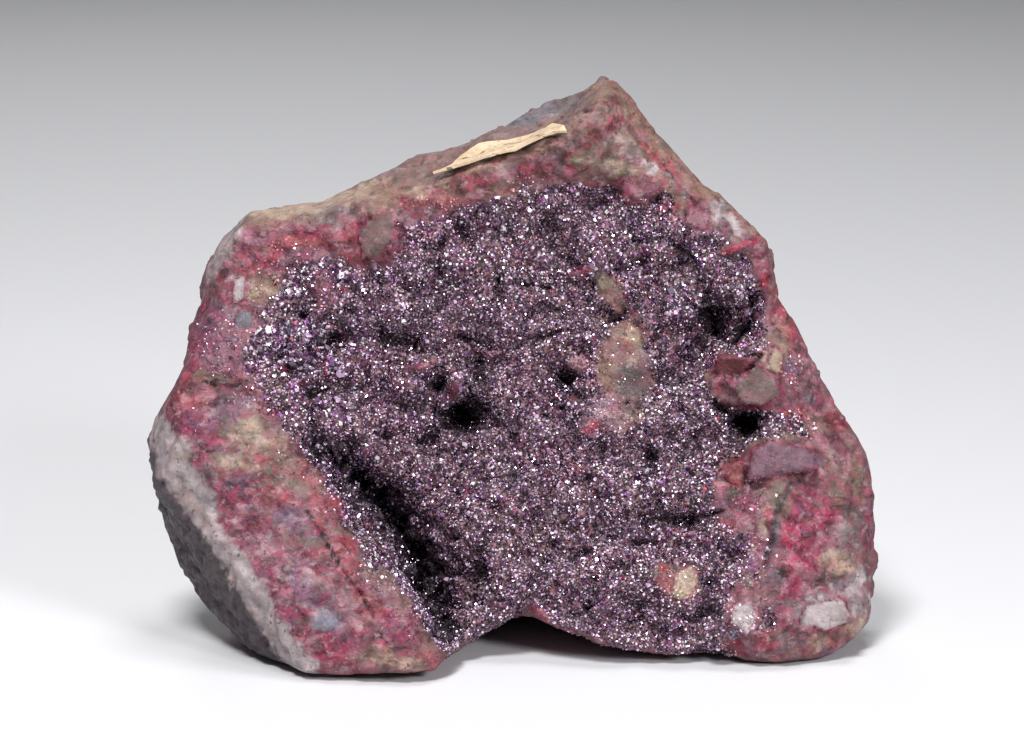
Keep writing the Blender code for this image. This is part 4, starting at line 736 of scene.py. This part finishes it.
def shape_stone(stone, fragments):
    """Breaks the stone's faces, sinks its hollows and cracks, and sets its knobs and clasts."""
    mesh = stone.data
    points, normals = corners_of(mesh), normals_of(mesh)
    across, up, back = seen(points)
    facing = -normals @ INTO_STONE
    places = points / MM
    front = smooth_step(0.0, 0.25, facing)
    above = smooth_step(0.0, 1.2, places[:, 2])
    turned = 0.15 + 0.85 * smooth_step(0.1, 0.5, np.abs(facing))
    druse = druse_cover(places, across, up) * front
    rock = 1.0 - druse
    inner = smooth_step(0.0, 3.0, inside_depth(across, up, DRUSE_EDGE)) * front
    broad = smoothed(normals, edges_of(mesh), np.ones(len(normals)), 6)
    flat = broken_faces(places, broad, facing, rock * above, turned)
    porous = white_band(across, up)[1] * front
    grain = turned * relief(places, ROCK_GRAIN)
    out = druse * druse_relief(places) * (0.35 + 0.65 * inner)
    out = out + rock * (rock_relief(places, turned, porous, fragments) + grain)
    sink = sunk_depth(places, across, up)
    for clast in CLASTS.values():
        inside, face = clast_face(clast, across, up, back, facing)
        sink = np.where(inside, face - back + 0.06 * grain, sink)
        out = np.where(inside, 0.0, out)
        flat = np.where(inside[:, None], places, flat)
    points = flat * MM + normals * (out * MM * above)[:, None]
    points = smoothed(points, edges_of(mesh), 0.5 * rock, 2)
    points += INTO_STONE * (sink * front * MM * above)[:, None]
    points[:, 2] = np.maximum(points[:, 2], 0.0)
    set_corners(mesh, points)
    return facing


def white_band(across, up):
    """How much the white band covers each place, and how much the grey side beyond it does."""
    distance, share, side, number = from_line(across, up, WHITE_BAND)
    widths = np.array([corner[2] for corner in WHITE_BAND])
    half = widths[number] * (1.0 - share) + widths[number + 1] * share
    beyond = (side > 0.0) & (up < 31.0) & (across < -20.0)
    band = smooth_step(1.15, 0.85, distance / half)
    grey = np.where(beyond, smooth_step(0.8, 1.2, distance / half), 0.0)
    return band, grey


def rock_colours(points, facing, level):
    """The rock's own patchy colours, paler where it is weathered at the top and the back."""
    hues = [linear(PALETTE[name]) for name in ROCK_HUES]
    colours = []
    for p in points / ROCK_PATCH:
        cell = noise.voronoi(Vector(p))[1][0]
        pick = int(1e4 * abs(noise.noise(cell * 3.7))) % len(hues)
        colours.append(hues[pick])
    base = 0.6 * linear(PALETTE["rose"]) + 0.4 * linear(PALETTE["tan"])
    colours = PATCH_SHARE * np.array(colours) + (1.0 - PATCH_SHARE) * base
    weathered = 0.5 * linear(PALETTE["tan"]) + 0.5 * linear(PALETTE["grey"])
    top = smooth_step(0.45, 0.8, level + 0.15 * noise_at(points, 3.0, 77.0))
    behind = smooth_step(0.05, -0.3, facing) * smooth_step(-0.5, 0.3, noise_at(points, 8.0, 87.0))
    colours += np.maximum(0.75 * top, 0.6 * behind)[:, None] * (weathered - colours)
    return colours, top


def covered(colours, share, name):
    """The colours, covered by a named colour by this share at each place."""
    return colours + share[:, None] * (linear(PALETTE[name]) - colours)


def fragment_colours(colours, plain, fragments):
    """The colours, with each angular fragment lighter or darker and of a hue of its own."""
    hues = np.array([linear(PALETTE[name]) for name in FRAGMENTS])
    for inner_part, value in fragments:
        hue = hues[(value * 97.0).astype(int) % len(FRAGMENTS)]
        colours = colours + (0.30 * inner_part * (1.0 - 0.9 * plain))[:, None] * (hue - colours)
        own_light = 0.6 + 0.75 * (value * 31.0 % 1.0)
        colours = colours * (1.0 + inner_part * (1.0 - 0.6 * plain) * (own_light - 1.0))[:, None]
    return colours


def stone_colours(points, across, up, facing, level, fragments):
    """The colour of the stone at each place, and how plain, without mottling, it is there."""
    colours, top = rock_colours(points, facing, level)
    warp_x = 0.7 * noise_at(points, 2.0, 41.0, 3) + 0.3 * noise_at(points, 0.6, 43.0, 2)
    warp_z = 0.7 * noise_at(points, 2.0, 57.0, 3) + 0.3 * noise_at(points, 0.6, 59.0, 2)
    x, z = across + warp_x, up + warp_z
    front = smooth_step(-0.05, 0.12, facing)
    for name, *spot, amount in AREAS:
        share = min(1.0, AREA_STRENGTH * amount) * smooth_step(1.12, 0.9, in_oval(x, z, spot))
        colours = covered(colours, share * front, name)
    band, grey = white_band(across + 1.1 * warp_x, up + 1.1 * warp_z)
    stained = smooth_step(0.1, 0.5, noise_at(points, 1.8, 53.0, 3))
    for share, name in ((0.9 * grey, "dark grey"), (band, "white"), (0.5 * band * stained, "tan")):
        colours = covered(colours, share * front, name)
    plain = np.clip(0.85 * band + 1.1 * grey + 0.6 * top, 0.0, 1.0)
    colours = fragment_colours(colours, plain, fragments)
    for corners, *_, name in CLASTS.values():
        depth = inside_depth(across, up, corners) + 0.12 * warp_x
        rim = smooth_step(-0.55, -0.1, depth) * (facing > 0.0)
        face = smooth_step(-0.05, 0.12, depth) * (facing > 0.0)
        colours = covered(colours, 0.6 * (rim - face), "crimson")
        colours = covered(colours, 0.9 * face, name)
        plain = np.maximum(plain, 0.8 * face)
    return colours, plain


def put_attribute(mesh, name, kind, values):
    layer = mesh.attributes.new(name, kind, "POINT")
    if kind == "FLOAT_COLOR":
        flat = np.ones((len(values), 4))
        flat[:, :3] = values
        layer.data.foreach_set("color", flat.ravel())
    else:
        layer.data.foreach_set("value", values)


def dimmed(colours, cover):
    """The colours as deep as the broken rock shows them, deepest where they are red."""
    blush = np.clip((colours[:, 0] / np.maximum(colours[:, 1], 0.001) - 1.0) / 1.5, 0.0, 1.0)
    loss = np.stack([0.52 + 0.01 * blush, 0.51 + 0.19 * blush, 0.53 + 0.04 * blush], axis=1)
    return colours * (1.0 - (1.0 - cover)[:, None] * loss), blush


def paint_stone(stone, facing, fragments):
    """Stores each place's colour, mottling and druse cover on the stone's mesh, with painted shade along its
    cracks.
    """
    mesh = stone.data
    points = corners_of(mesh)
    across, up, _ = seen(points)
    places = points / MM
    broad = smoothed(normals_of(mesh), edges_of(mesh), np.ones(len(points)), 4)
    colours, plain = stone_colours(places, across, up, facing, broad[:, 2], fragments)
    cover = druse_cover(places, across, up) * smooth_step(-0.35, 0.1, facing)
    colours = covered(colours, 0.7 * cover, "purple druse")
    # Painted shade: the cracks and the crevice are painted dark along their lines, where shade falls in them.
    for line, half_width, _ in CRACKS.values():
        distance = from_line(across, up, line)[0]
        dark = 0.85 * np.exp(-((distance / half_width) ** 2)) * (facing > 0)
        colours = covered(colours, dark, "dark")
    colours, blush = dimmed(colours, cover)
    mottle = (1.0 - 0.85 * plain) * (1.0 - 0.9 * cover) * (0.35 + 0.65 * blush)
    put_attribute(mesh, "paint", "FLOAT_COLOR", np.clip(colours, 0.0, 1.0))
    put_attribute(mesh, "mottle", "FLOAT", mottle)
    put_attribute(mesh, "druse", "FLOAT", cover)


def open_sky_for_shade(stone):
    """Stores how much of the sky each place sees, from 0 in a deep recess to 1 on a high place, for the
    painted shade of the rock and the crystals in recesses.
    """
    mesh = stone.data
    chance = np.random.default_rng(SKY_SEED)
    fan = chance.normal(size=(SKY_RAYS, 3))
    fan /= np.linalg.norm(fan, axis=1)[:, None]
    tree = BVHTree.FromObject(stone, bpy.context.evaluated_depsgraph_get())
    points, normals = corners_of(mesh), normals_of(mesh)
    facing = -normals @ INTO_STONE
    values = np.ones(len(points))
    for i in np.nonzero(facing > -0.5)[0]:
        normal = normals[i]
        start = Vector(points[i] + normal * RAY_LIFT * MM)
        met = 0
        for way in fan:
            way = way if way @ normal > 0.0 else -way
            if tree.ray_cast(start, Vector(way + 0.4 * normal), RAY_REACH * MM)[0]:
                met += 1
        values[i] = 1.0 - met / SKY_RAYS
    put_attribute(mesh, "open_for_shade", "FLOAT", values)


def make_stone(nodes):
    """The rock: one fine surface, shaped and painted."""
    stone = fused_stone(nodes)
    pushed = bent(corners_of(stone.data) / MM, *FRAGMENT_BEND)
    fragments = [fragments_at(pushed, *cells) for cells in FRAGMENT_CELLS]
    facing = shape_stone(stone, fragments)
    paint_stone(stone, facing, fragments)
    fewer = stone.modifiers.new("decimate", "DECIMATE")
    fewer.ratio = min(1.0, STONE_TRIANGLES / (2.0 * len(stone.data.polygons)))
    apply_modifiers(stone)
    open_sky_for_shade(stone)
    stone.data.shade_smooth()
    return stone


def triangles_of(mesh):
    """The corners of a mesh's triangles, and their normals and areas."""
    mesh.calc_loop_triangles()
    count = len(mesh.loop_triangles)
    corners = np.empty(count * 3, int)
    mesh.loop_triangles.foreach_get("vertices", corners)
    points = corners_of(mesh)[corners.reshape(-1, 3)]
    across = np.cross(points[:, 1] - points[:, 0], points[:, 2] - points[:, 0])
    size = np.linalg.norm(across, axis=1)
    return points, across / np.maximum(size, 1e-18)[:, None], 0.5 * size, corners.reshape(-1, 3)


def sampled(mesh, name, corners):
    """A named value or colour of the mesh at each triangle, as the mean of its corners."""
    layer = mesh.attributes[name]
    if layer.data_type == "FLOAT_COLOR":
        flat = np.empty(len(mesh.vertices) * 4)
        layer.data.foreach_get("color", flat)
        return flat.reshape(-1, 4)[:, :3][corners].mean(axis=1)
    flat = np.empty(len(mesh.vertices))
    layer.data.foreach_get("value", flat)
    return flat[corners].mean(axis=1)


def scattered(stone, count, chance, weigh):
    """Places over the stone's triangles, thicker where weigh says so, with the stone's looks there."""
    points, normals, areas, corners = triangles_of(stone.data)
    middle = points.mean(axis=1)
    across, up, back = seen(middle)
    facing = -normals @ INTO_STONE
    weight = areas * weigh(middle / MM, across, up) * smooth_step(-0.2, 0.1, facing)
    weight = weight * (back < CRYSTALS_BACK) * (middle[:, 2] > CRYSTALS_LOW * MM)
    picked = chance.choice(len(weight), count, p=weight / weight.sum())
    first, second = chance.random(count), chance.random(count)
    over = first + second > 1.0
    first[over], second[over] = 1.0 - first[over], 1.0 - second[over]
    a, b, c = points[picked, 0], points[picked, 1], points[picked, 2]
    places = a + (b - a) * first[:, None] + (c - a) * second[:, None]
    looks = [sampled(stone.data, name, corners[picked]) for name in ("paint", "open_for_shade", "druse")]
    return places, normals[picked], looks


def standing_axes(normals, lean, chance):
    """Three axes for each crystal: its long axis leans off the surface by up to about this much."""
    count = len(normals)
    axis = normals + chance.normal(0.0, lean, (count, 3))
    axis /= np.linalg.norm(axis, axis=1)[:, None]
    side = np.cross(axis, chance.normal(size=(count, 3)))
    side /= np.linalg.norm(side, axis=1)[:, None]
    return side, np.cross(axis, side), axis


def make_crystals(name, places, normals, sizes, tallness, colours, lean, chance):
    """Many closed rhombohedra in one mesh, each with its own size, lean and colour."""
    right, forward, axis = standing_axes(normals, lean, chance)
    shape = np.array(RHOMBOHEDRON)
    flat = shape[None, :, :] * sizes[:, None, None] * MM
    points = (
        places[:, None, :]
        + flat[:, :, 0:1] * right[:, None, :]
        + flat[:, :, 1:2] * forward[:, None, :]
        + flat[:, :, 2:3] * (axis * tallness[:, None])[:, None, :]
    )
    faces = np.array(RHOMBOHEDRON_FACES)[None] + (np.arange(len(places)) * len(shape))[:, None, None]
    mesh = bpy.data.meshes.new(name)
    mesh.from_pydata(points.reshape(-1, 3), [], faces.reshape(-1, 4))
    put_attribute(mesh, "paint", "FLOAT_COLOR", np.repeat(colours, len(shape), axis=0))
    return new_piece(name, mesh)


def crystal_colours(places, looks, silver, chance):
    """Colours of crystals of all kinds, this share of them silver, in brighter and darker patches, with
    painted highlights on the upper, left and right druse and painted shade in its recesses.
    """
    paint, openness_for_shade, cover = looks
    kinds = np.array([linear(kind) for kind in CRYSTAL_KINDS])
    purple = 1.0 - BLACK_SHARE - silver - RUBY_SHARE
    picked = kinds[chance.choice(4, len(paint), p=(BLACK_SHARE, purple, silver, RUBY_SHARE))]
    patches = np.exp(0.7 * noise_at(places / MM, 2.4, 83.0, 3))
    across, up, _ = seen(places)
    # Painted highlights: crystals on the upper, left and right druse are brighter and spread wider in
    # brightness.
    painted_shine = np.maximum(smooth_step(42.0, 52.0, up), smooth_step(13.0, 22.0, np.abs(across)))
    shade = np.exp(chance.normal(0.0, 0.3 + 0.35 * painted_shine)) * (0.9 + 0.3 * painted_shine) * patches
    # Painted shade: crystals are darker where the stone sees less of the sky, in recesses.
    shade = shade * (0.09 + 1.3 * openness_for_shade**1.8)
    own = (0.9 * smooth_step(0.1, 0.8, cover))[:, None]
    return np.clip((picked * own + 1.2 * paint * (1.0 - own)) * shade[:, None], 0.0, 0.9)


def bright_share(across, up):
    """How much of each place is in one of the places with larger, brighter crystals."""
    share = np.full(across.shape, 0.0)
    for spot in BRIGHT:
        share = np.maximum(share, spot[5] * smooth_step(1.2, 0.5, in_oval(across, up, spot)))
    return share


def make_druse(stone):
    """The druse: small crystals all over the hollow, and larger ones where they are bright."""
    chance = np.random.default_rng(DRUSE_SEED)

    def bright(places, across, up):
        return bright_share(across, up) * druse_cover(places, across, up)

    def middling(places, across, up):
        return druse_cover(places, across, up) * (0.2 + bright(places, across, up))

    # Name, how many, where, least and greatest size in millimetres, flattest and tallest, share of silver
    kinds = (
        ("druse", SMALL_CRYSTALS, druse_cover, 0.08, 0.24, 0.7, 1.3, 0.24),
        ("druse_middle", MIDDLE_CRYSTALS, middling, 0.22, 0.40, 0.3, 1.2, 0.15),
        ("druse_large", LARGE_CRYSTALS, bright, 0.38, 0.78, 0.12, 0.7, 0.33),
    )
    pieces = []
    for name, count, weigh, low, high, flat, tall, silver in kinds:
        places, normals, looks = scattered(stone, count, chance, weigh)
        colours = crystal_colours(places, looks, silver, chance)
        sizes = low + (high - low) * chance.beta(*SIZE_SPREAD, count)
        tallness = chance.uniform(flat, tall, count)
        for number, start in enumerate(range(0, count, CRYSTALS_A_PIECE)):
            part = slice(start, start + CRYSTALS_A_PIECE)
            own = (places[part], normals[part], sizes[part], tallness[part], colours[part])
            pieces.append(make_crystals(f"{name}_{number + 1}", *own, CRYSTAL_LEAN, chance))
    return pieces


class Nodes:
    """Builds one material's shader nodes."""

    def __init__(self, name):
        self.material = bpy.data.materials.new(name)
        self.material.use_nodes = True
        self.tree = self.material.node_tree
        self.shader = self.tree.nodes["Principled BSDF"]

    def add(self, kind, **settings):
        node = self.tree.nodes.new(kind)
        for key, value in settings.items():
            setattr(node, key, value)
        return node

    def link(self, source, target):
        self.tree.links.new(source, target)

    def fill(self, sockets, values):
        """Sets each socket to its value, or links it where the value is another node's output."""
        for socket, value in zip(sockets, values):
            if isinstance(value, (int, float)):
                socket.default_value = value
            elif isinstance(value, tuple):
                socket.default_value = (*value, 1.0)[: len(socket.default_value)]
            else:
                self.link(value, socket)

    def attribute(self, name):
        return self.add("ShaderNodeAttribute", attribute_name=name)

    def place(self):
        return self.add("ShaderNodeTexCoord").outputs["Object"]

    def vector(self, operation, *values):
        node = self.add("ShaderNodeVectorMath", operation=operation)
        self.fill(node.inputs, values)
        return node.outputs["Value" if operation == "DOT_PRODUCT" else "Vector"]

    def math(self, operation, *values):
        node = self.add("ShaderNodeMath", operation=operation)
        self.fill(node.inputs, values)
        return node.outputs[0]

    def mix(self, share, first, second, blend="MIX"):
        node = self.add("ShaderNodeMix", data_type="RGBA", blend_type=blend)
        self.fill((node.inputs["Factor"], node.inputs[6], node.inputs[7]), (share, first, second))
        return node.outputs[2]

    def ramp(self, value, low, high, start, end):
        node = self.add("ShaderNodeMapRange", clamp=True)
        sockets = [node.inputs[name] for name in ("Value", "From Min", "From Max", "To Min", "To Max")]
        self.fill(sockets, (value, low, high, start, end))
        return node.outputs["Result"]

    def noise(self, cell, detail=3.0, place=None):
        node = self.add("ShaderNodeTexNoise")
        sockets = [node.inputs[name] for name in ("Vector", "Scale", "Detail")]
        self.fill(sockets, (place or self.place(), 1.0 / (cell * MM), detail))
        return node

    def level(self, cell, detail=3.0, place=None):
        """One value of the noise at each place, from 0 to 1."""
        return self.noise(cell, detail, place).outputs["Fac"]

    def voronoi(self, cell, place):
        node = self.add("ShaderNodeTexVoronoi")
        self.fill((node.inputs["Vector"], node.inputs["Scale"]), (place, 1.0 / (cell * MM)))
        return node

    def bent(self, cell, amount, stretch):
        """The place in the object, pushed about by noise and stretched."""
        wobble = self.noise(cell, 1.0).outputs["Color"]
        pushed = self.vector("MULTIPLY_ADD", wobble, (amount * MM,) * 3, self.place())
        return self.vector("MULTIPLY", pushed, stretch)

    def moved(self, place, seed):
        """The place, moved so that a pattern with another seed is another one."""
        return self.vector("ADD", place, (seed * SEED_STEP * MM,) * 3)

    def patches(self, cell, place, low, high, share, seed=0.0):
        """Soft patches about one cell wide, where noise lies above low, up to this share."""
        return self.ramp(self.level(cell, 2.0, self.moved(place, seed)), low, high, 0.0, share)

    def veins(self, cell, place, width, share, seed):
        """Thin winding veins, about one cell apart, up to this share."""
        away = self.math("SUBTRACT", self.level(cell, 3.0, self.moved(place, seed)), 0.5)
        return self.ramp(self.math("ABSOLUTE", away), width, 0.3 * width, 0.0, share)

    def facets(self, cell, place):
        """Heights of small flat facets, each tilted its own way, in cells."""
        found = self.voronoi(cell, place)
        in_cells = (1.0 / (cell * MM),) * 3
        here = self.vector("MULTIPLY", place, in_cells)
        centre = self.vector("MULTIPLY", found.outputs["Position"], in_cells)
        tilt = self.vector("SUBTRACT", found.outputs["Color"], (0.5, 0.5, 0.5))
        return self.vector("DOT_PRODUCT", self.vector("SUBTRACT", here, centre), tilt)

    def bump(self, height, strength, distance):
        node = self.add("ShaderNodeBump")
        sockets = [node.inputs[name] for name in ("Height", "Strength", "Distance")]
        self.fill(sockets, (height, strength, distance * MM))
        self.link(node.outputs["Normal"], self.shader.inputs["Normal"])

    def set(self, **values):
        for name, value in values.items():
            self.shader.inputs[name.replace("_", " ")].default_value = value


def mottled(nodes, colour, mottle, streaked):
    """The rock's colour with soft pale, mauve and crimson patches, small white patches of painted highlight,
    and thin veins.
    """
    hues = (
        (nodes.patches(2.4, streaked, 0.55, 0.61, 0.28), "pale rose"),
        (nodes.patches(3.2, streaked, 0.55, 0.60, 0.25, 7.0), "lilac"),
        (nodes.patches(1.7, streaked, 0.56, 0.61, 0.50, 3.0), "crimson"),
        # Painted highlights: small white patches stand in for tiny highlights on the rock.
        (nodes.patches(1.2, streaked, 0.61, 0.65, 0.20, 11.0), "white"),
        (nodes.patches(1.4, streaked, 0.58, 0.63, 0.60, 17.0), "red brown"),
        (nodes.veins(3.2, streaked, 0.022, 0.50, 23.0), "crimson"),
        (nodes.veins(2.0, streaked, 0.018, 0.40, 29.0), "plum"),
    )
    for share, hue in hues:
        colour = nodes.mix(nodes.math("MULTIPLY", share, mottle), colour, tuple(linear(PALETTE[hue])))
    return colour


def breccia_material():
    """Broken rock: its painted colour with grain and mottling, small dark specks of painted shade, painted
    shade in its recesses, and the druse's dark ground with painted glints.
    """
    nodes = Nodes("breccia")
    paint = nodes.attribute("paint").outputs["Color"]
    mottle = nodes.attribute("mottle").outputs["Fac"]
    streaked = nodes.bent(2.4, 1.2, (1.0, 1.0, 1.4))
    grain = nodes.ramp(nodes.level(0.3, 2.0), 0.3, 0.7, 0.8, 1.2)
    cloud = nodes.ramp(nodes.level(1.9, 2.0, streaked), 0.34, 0.66, 0.45, 1.6)
    strength = nodes.ramp(mottle, 0.0, 1.0, 0.15, 1.0)
    clouded = nodes.mix(1.0, paint, nodes.math("MULTIPLY", grain, cloud), "MULTIPLY")
    colour = mottled(nodes, nodes.mix(strength, paint, clouded), mottle, streaked)
    # Painted shade: small dark specks stand in for the shade inside tiny holes in the rock.
    pit_shade = nodes.ramp(nodes.level(0.6, 2.0), 0.36, 0.30, 0.0, 0.6)
    colour = nodes.mix(pit_shade, colour, tuple(linear(PALETTE["dark"])))
    # On the druse's dark ground, tiny cells are darkened and brightened up to more than twice: a random tone
    # of the finest crystals with painted glints on the brightest.
    specks = nodes.add("ShaderNodeSeparateColor")
    nodes.link(nodes.voronoi(0.24, nodes.place()).outputs["Color"], specks.inputs[0])
    specks_and_glints = nodes.mix(1.0, paint, nodes.ramp(specks.outputs[1], 0.35, 1.0, 0.15, 2.4), "MULTIPLY")
    colour = nodes.mix(nodes.attribute("druse").outputs["Fac"], colour, specks_and_glints)
    # Painted shade: the rock's colour is darker where it sees less of the sky, in its recesses.
    painted_recess_shade = nodes.ramp(nodes.attribute("open_for_shade").outputs["Fac"], 0.1, 0.8, 0.2, 1.0)
    nodes.link(nodes.mix(1.0, colour, painted_recess_shade, "MULTIPLY"), nodes.shader.inputs["Base Color"])
    nodes.link(nodes.ramp(nodes.level(0.9, 2.0), 0.35, 0.65, 0.45, 0.8), nodes.shader.inputs["Roughness"])
    height = nodes.math("MULTIPLY", nodes.level(0.4, 4.0), 0.6)
    for cell, tall in ((1.8, 2.6), (0.8, 1.3), (0.3, 0.4)):
        height = nodes.math("ADD", height, nodes.math("MULTIPLY", nodes.facets(cell, streaked), tall))
    nodes.bump(nodes.math("MULTIPLY", height, nodes.ramp(mottle, 0.0, 1.0, 0.4, 1.1)), 0.9, 0.30)
    return nodes.material


def cinnabar_material():
    """Bright facets over a dark body, sharper in some places than in others."""
    nodes = Nodes("cinnabar")
    fine = nodes.ramp(nodes.level(0.4, 2.0), 0.3, 0.7, 0.8, 1.2)
    paint = nodes.attribute("paint").outputs["Color"]
    nodes.link(nodes.mix(1.0, paint, fine, "MULTIPLY"), nodes.shader.inputs["Base Color"])
    nodes.link(nodes.ramp(nodes.level(2.6), 0.42, 0.58, 0.42, 0.12), nodes.shader.inputs["Roughness"])
    nodes.set(Metallic=0.3, IOR=2.6, Specular_Tint=(1.0, 0.82, 1.0, 1.0))
    return nodes.material


def paper_material():
    """Aged cream paper with a few faded strokes of ink."""
    nodes = Nodes("paper")
    cream, brown, ink = (tuple(linear(colour)) for colour in (PAPER, AGED_PAPER, INK))
    paper = nodes.mix(nodes.ramp(nodes.level(1.6, 4.0), 0.4, 0.65, 0.0, 0.7), cream, brown)
    fibres = nodes.ramp(nodes.level(0.25), 0.35, 0.65, 0.88, 1.1)
    paper = nodes.mix(1.0, paper, fibres, "MULTIPLY")
    strokes = nodes.patches(0.9, nodes.bent(2.0, 0.6, (0.45, 1.5, 1.5)), 0.60, 0.63, 0.8, 5.0)
    nodes.link(nodes.mix(strokes, paper, ink), nodes.shader.inputs["Base Color"])
    nodes.set(Roughness=0.9)
    nodes.bump(nodes.level(0.2), 0.3, 0.05)
    return nodes.material


def dress(piece, material, node):
    piece.data.materials.clear()
    piece.data.materials.append(material)
    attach(piece, "root")
    if node:
        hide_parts(node)


def make_label(node):
    """The paper label, from the solid that keeps its place, with a finer surface."""
    work = bmesh.new()
    work.from_mesh(node.data)
    bmesh.ops.remove_doubles(work, verts=work.verts, dist=1e-6)
    bmesh.ops.subdivide_edges(work, edges=work.edges, cuts=2, use_grid_fill=True)
    mesh = bpy.data.meshes.new("label")
    work.to_mesh(mesh)
    work.free()
    return new_piece("label", mesh)


def make_floor():
    bpy.ops.mesh.primitive_plane_add(size=FLOOR_WIDTH, location=(0, 0, FLOOR_LEVEL))
    floor = bpy.context.object
    floor.name = "floor"
    nodes = Nodes("floor")
    nodes.set(Base_Color=FLOOR_COLOUR, Roughness=0.55)
    floor.data.materials.append(nodes.material)


def add_light(name, place, width, power):
    light = bpy.data.lights.new(name, "AREA")
    light.shape = "DISK"
    light.size = width
    light.energy = power
    holder = bpy.data.objects.new(name, light)
    bpy.context.scene.collection.objects.link(holder)
    holder.location = place
    holder.rotation_euler = (Vector(LIT_PLACE) - Vector(place)).to_track_quat("-Z", "Y").to_euler()


def light_studio():
    for row in LIGHTS:
        add_light(*row)
    world = bpy.data.worlds.new("studio")
    world.use_nodes = True
    sky = world.node_tree.nodes["Background"].inputs
    sky["Color"].default_value = SKY_COLOUR
    sky["Strength"].default_value = SKY_STRENGTH
    bpy.context.scene.world = world


def place_camera():
    """The eye that the face frame is seen by, level with EYE_HEIGHT and looking straight at the face."""
    camera = bpy.data.cameras.new("camera")
    camera.lens = LENS
    camera.sensor_width = SENSOR_WIDTH
    camera.clip_start = NEAREST_SEEN
    holder = bpy.data.objects.new("camera", camera)
    bpy.context.scene.collection.objects.link(holder)
    aim = (np.array(FACE_ORIGIN) + EYE_HEIGHT * UP_THE_FACE) * MM
    holder.location = aim - INTO_STONE * VIEW_DISTANCE * MM
    holder.rotation_euler = (math.pi / 2 - FACE_TILT, 0, 0)
    bpy.context.scene.camera = holder


def main():
    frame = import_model()
    nodes = frame["nodes"]
    noise.seed_set(CHIP_SEED)
    stone = make_stone(nodes)
    druse = make_druse(stone)
    dress(stone, breccia_material(), "matrix")
    cinnabar = cinnabar_material()
    for number, piece in enumerate(druse):
        dress(piece, cinnabar, "cinnabar_crust" if number == 0 else None)
    label = make_label(nodes["paper_label"])
    dress(label, paper_material(), "paper_label")
    make_floor()
    light_studio()
    place_camera()
    bpy.context.scene.view_settings.view_transform = "Standard"


main()
